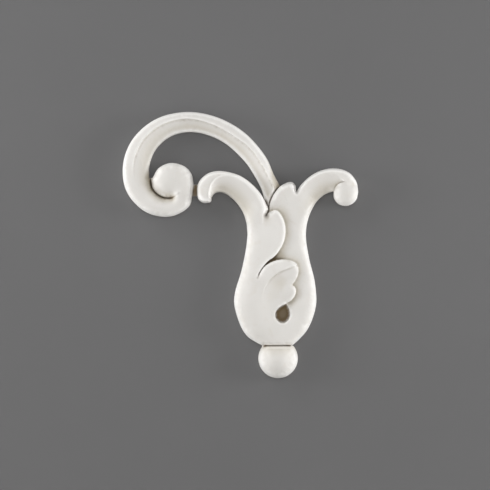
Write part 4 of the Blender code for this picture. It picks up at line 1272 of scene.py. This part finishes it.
class RELIEF_OT_cast_ornament(bpy.types.Operator):
    """Build the ornament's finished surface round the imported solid"""

    bl_idname = "relief.cast_ornament"
    bl_label = "Cast ornament"

    def execute(self, context):
        look = context.scene.relief_cast
        rough_cast = cast_mesh(look.fineness)
        mesh = made_plain(rough_cast, {
            "Wave Depth": look.wave_depth, "Wave Size": look.wave_size,
            "Dimple Depth": look.dimple_depth, "Dimple Size": look.dimple_size,
            "Material": plaster_material(look),
        })
        if len(mesh.polygons) < LEAST_FACES:
            raise RuntimeError("the ornament's surface came out empty")
        ornament = bpy.data.objects.new(PIECE, mesh)
        context.scene.collection.objects.link(ornament)
        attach(ornament, "root")
        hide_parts("scroll_ornament")
        return {"FINISHED"}


class RELIEF_OT_studio(bpy.types.Operator):
    """Set up the wall, the floor, the soft lights and the camera"""

    bl_idname = "relief.studio"
    bl_label = "Studio"

    def execute(self, context):
        studio = context.scene.relief_studio
        wall = [(x, WALL_LINE, z) for x, z in four_corners(WALL_SIDE, FLOOR_LEVEL, WALL_TOP)]
        floor = [(x, y, FLOOR_LEVEL) for x, y in four_corners(FLOOR_SIDE, -FLOOR_REACH, FLOOR_REACH)]
        flat_sheet("studio_wall", wall, studio.wall_colour, see_through_back=True)
        flat_sheet("studio_floor", floor, studio.floor_colour)
        for name, (turn, rise) in SOFT_BOXES.items():
            soft_box("soft_box_" + name, turn, rise, getattr(studio, name + "_power"))
        world = bpy.data.worlds.new("studio_sky")
        world.use_nodes = True
        background = world.node_tree.nodes["Background"]
        fill(world.node_tree, background, {"Color": SKY_TONE, "Strength": studio.sky})
        context.scene.world = world
        context.scene.view_settings.view_transform = "Standard"

        lens = bpy.data.cameras.new("camera")
        camera = bpy.data.objects.new("camera", lens)
        context.scene.collection.objects.link(camera)
        camera.location = (VIEW_CENTRE[0], -studio.camera_distance, VIEW_CENTRE[1])
        camera.rotation_euler = (math.radians(90), 0, 0)
        lens.sensor_width = SENSOR_WIDTH
        lens.lens = SENSOR_WIDTH * (studio.camera_distance - VIEW_PLANE) / VIEW_WIDTH
        context.scene.camera = camera
        return {"FINISHED"}


class RELIEF_PT_panel(bpy.types.Panel):
    """Sidebar panel with the relief's steps"""

    bl_idname = "RELIEF_PT_panel"
    bl_label = "Cast scroll relief"
    bl_space_type = "VIEW_3D"
    bl_region_type = "UI"
    bl_category = "Relief"

    def draw(self, context):
        for step, group in ((RELIEF_OT_cast_ornament, context.scene.relief_cast),
                            (RELIEF_OT_studio, context.scene.relief_studio)):
            box = self.layout.box()
            box.operator(step.bl_idname)
            for name in group.__annotations__:
                box.prop(group, name)


CLASSES = (CastSettings, StudioSettings, RELIEF_OT_cast_ornament, RELIEF_OT_studio, RELIEF_PT_panel)


def register():
    for kind in CLASSES:
        bpy.utils.register_class(kind)
    bpy.types.Scene.relief_cast = bpy.props.PointerProperty(type=CastSettings)
    bpy.types.Scene.relief_studio = bpy.props.PointerProperty(type=StudioSettings)


def unregister():
    del bpy.types.Scene.relief_studio
    del bpy.types.Scene.relief_cast
    for kind in reversed(CLASSES):
        bpy.utils.unregister_class(kind)


def main():
    """Builds the ornament, kept inside the imported solid's box, and its studio."""
    register()
    for item in list(bpy.context.scene.objects):
        if item.name in ("Cube", "Light", "Camera"):
            bpy.data.objects.remove(item)
    bpy.ops.relief.cast_ornament()
    bpy.ops.relief.studio()


if __name__ == "__main__":
    main()
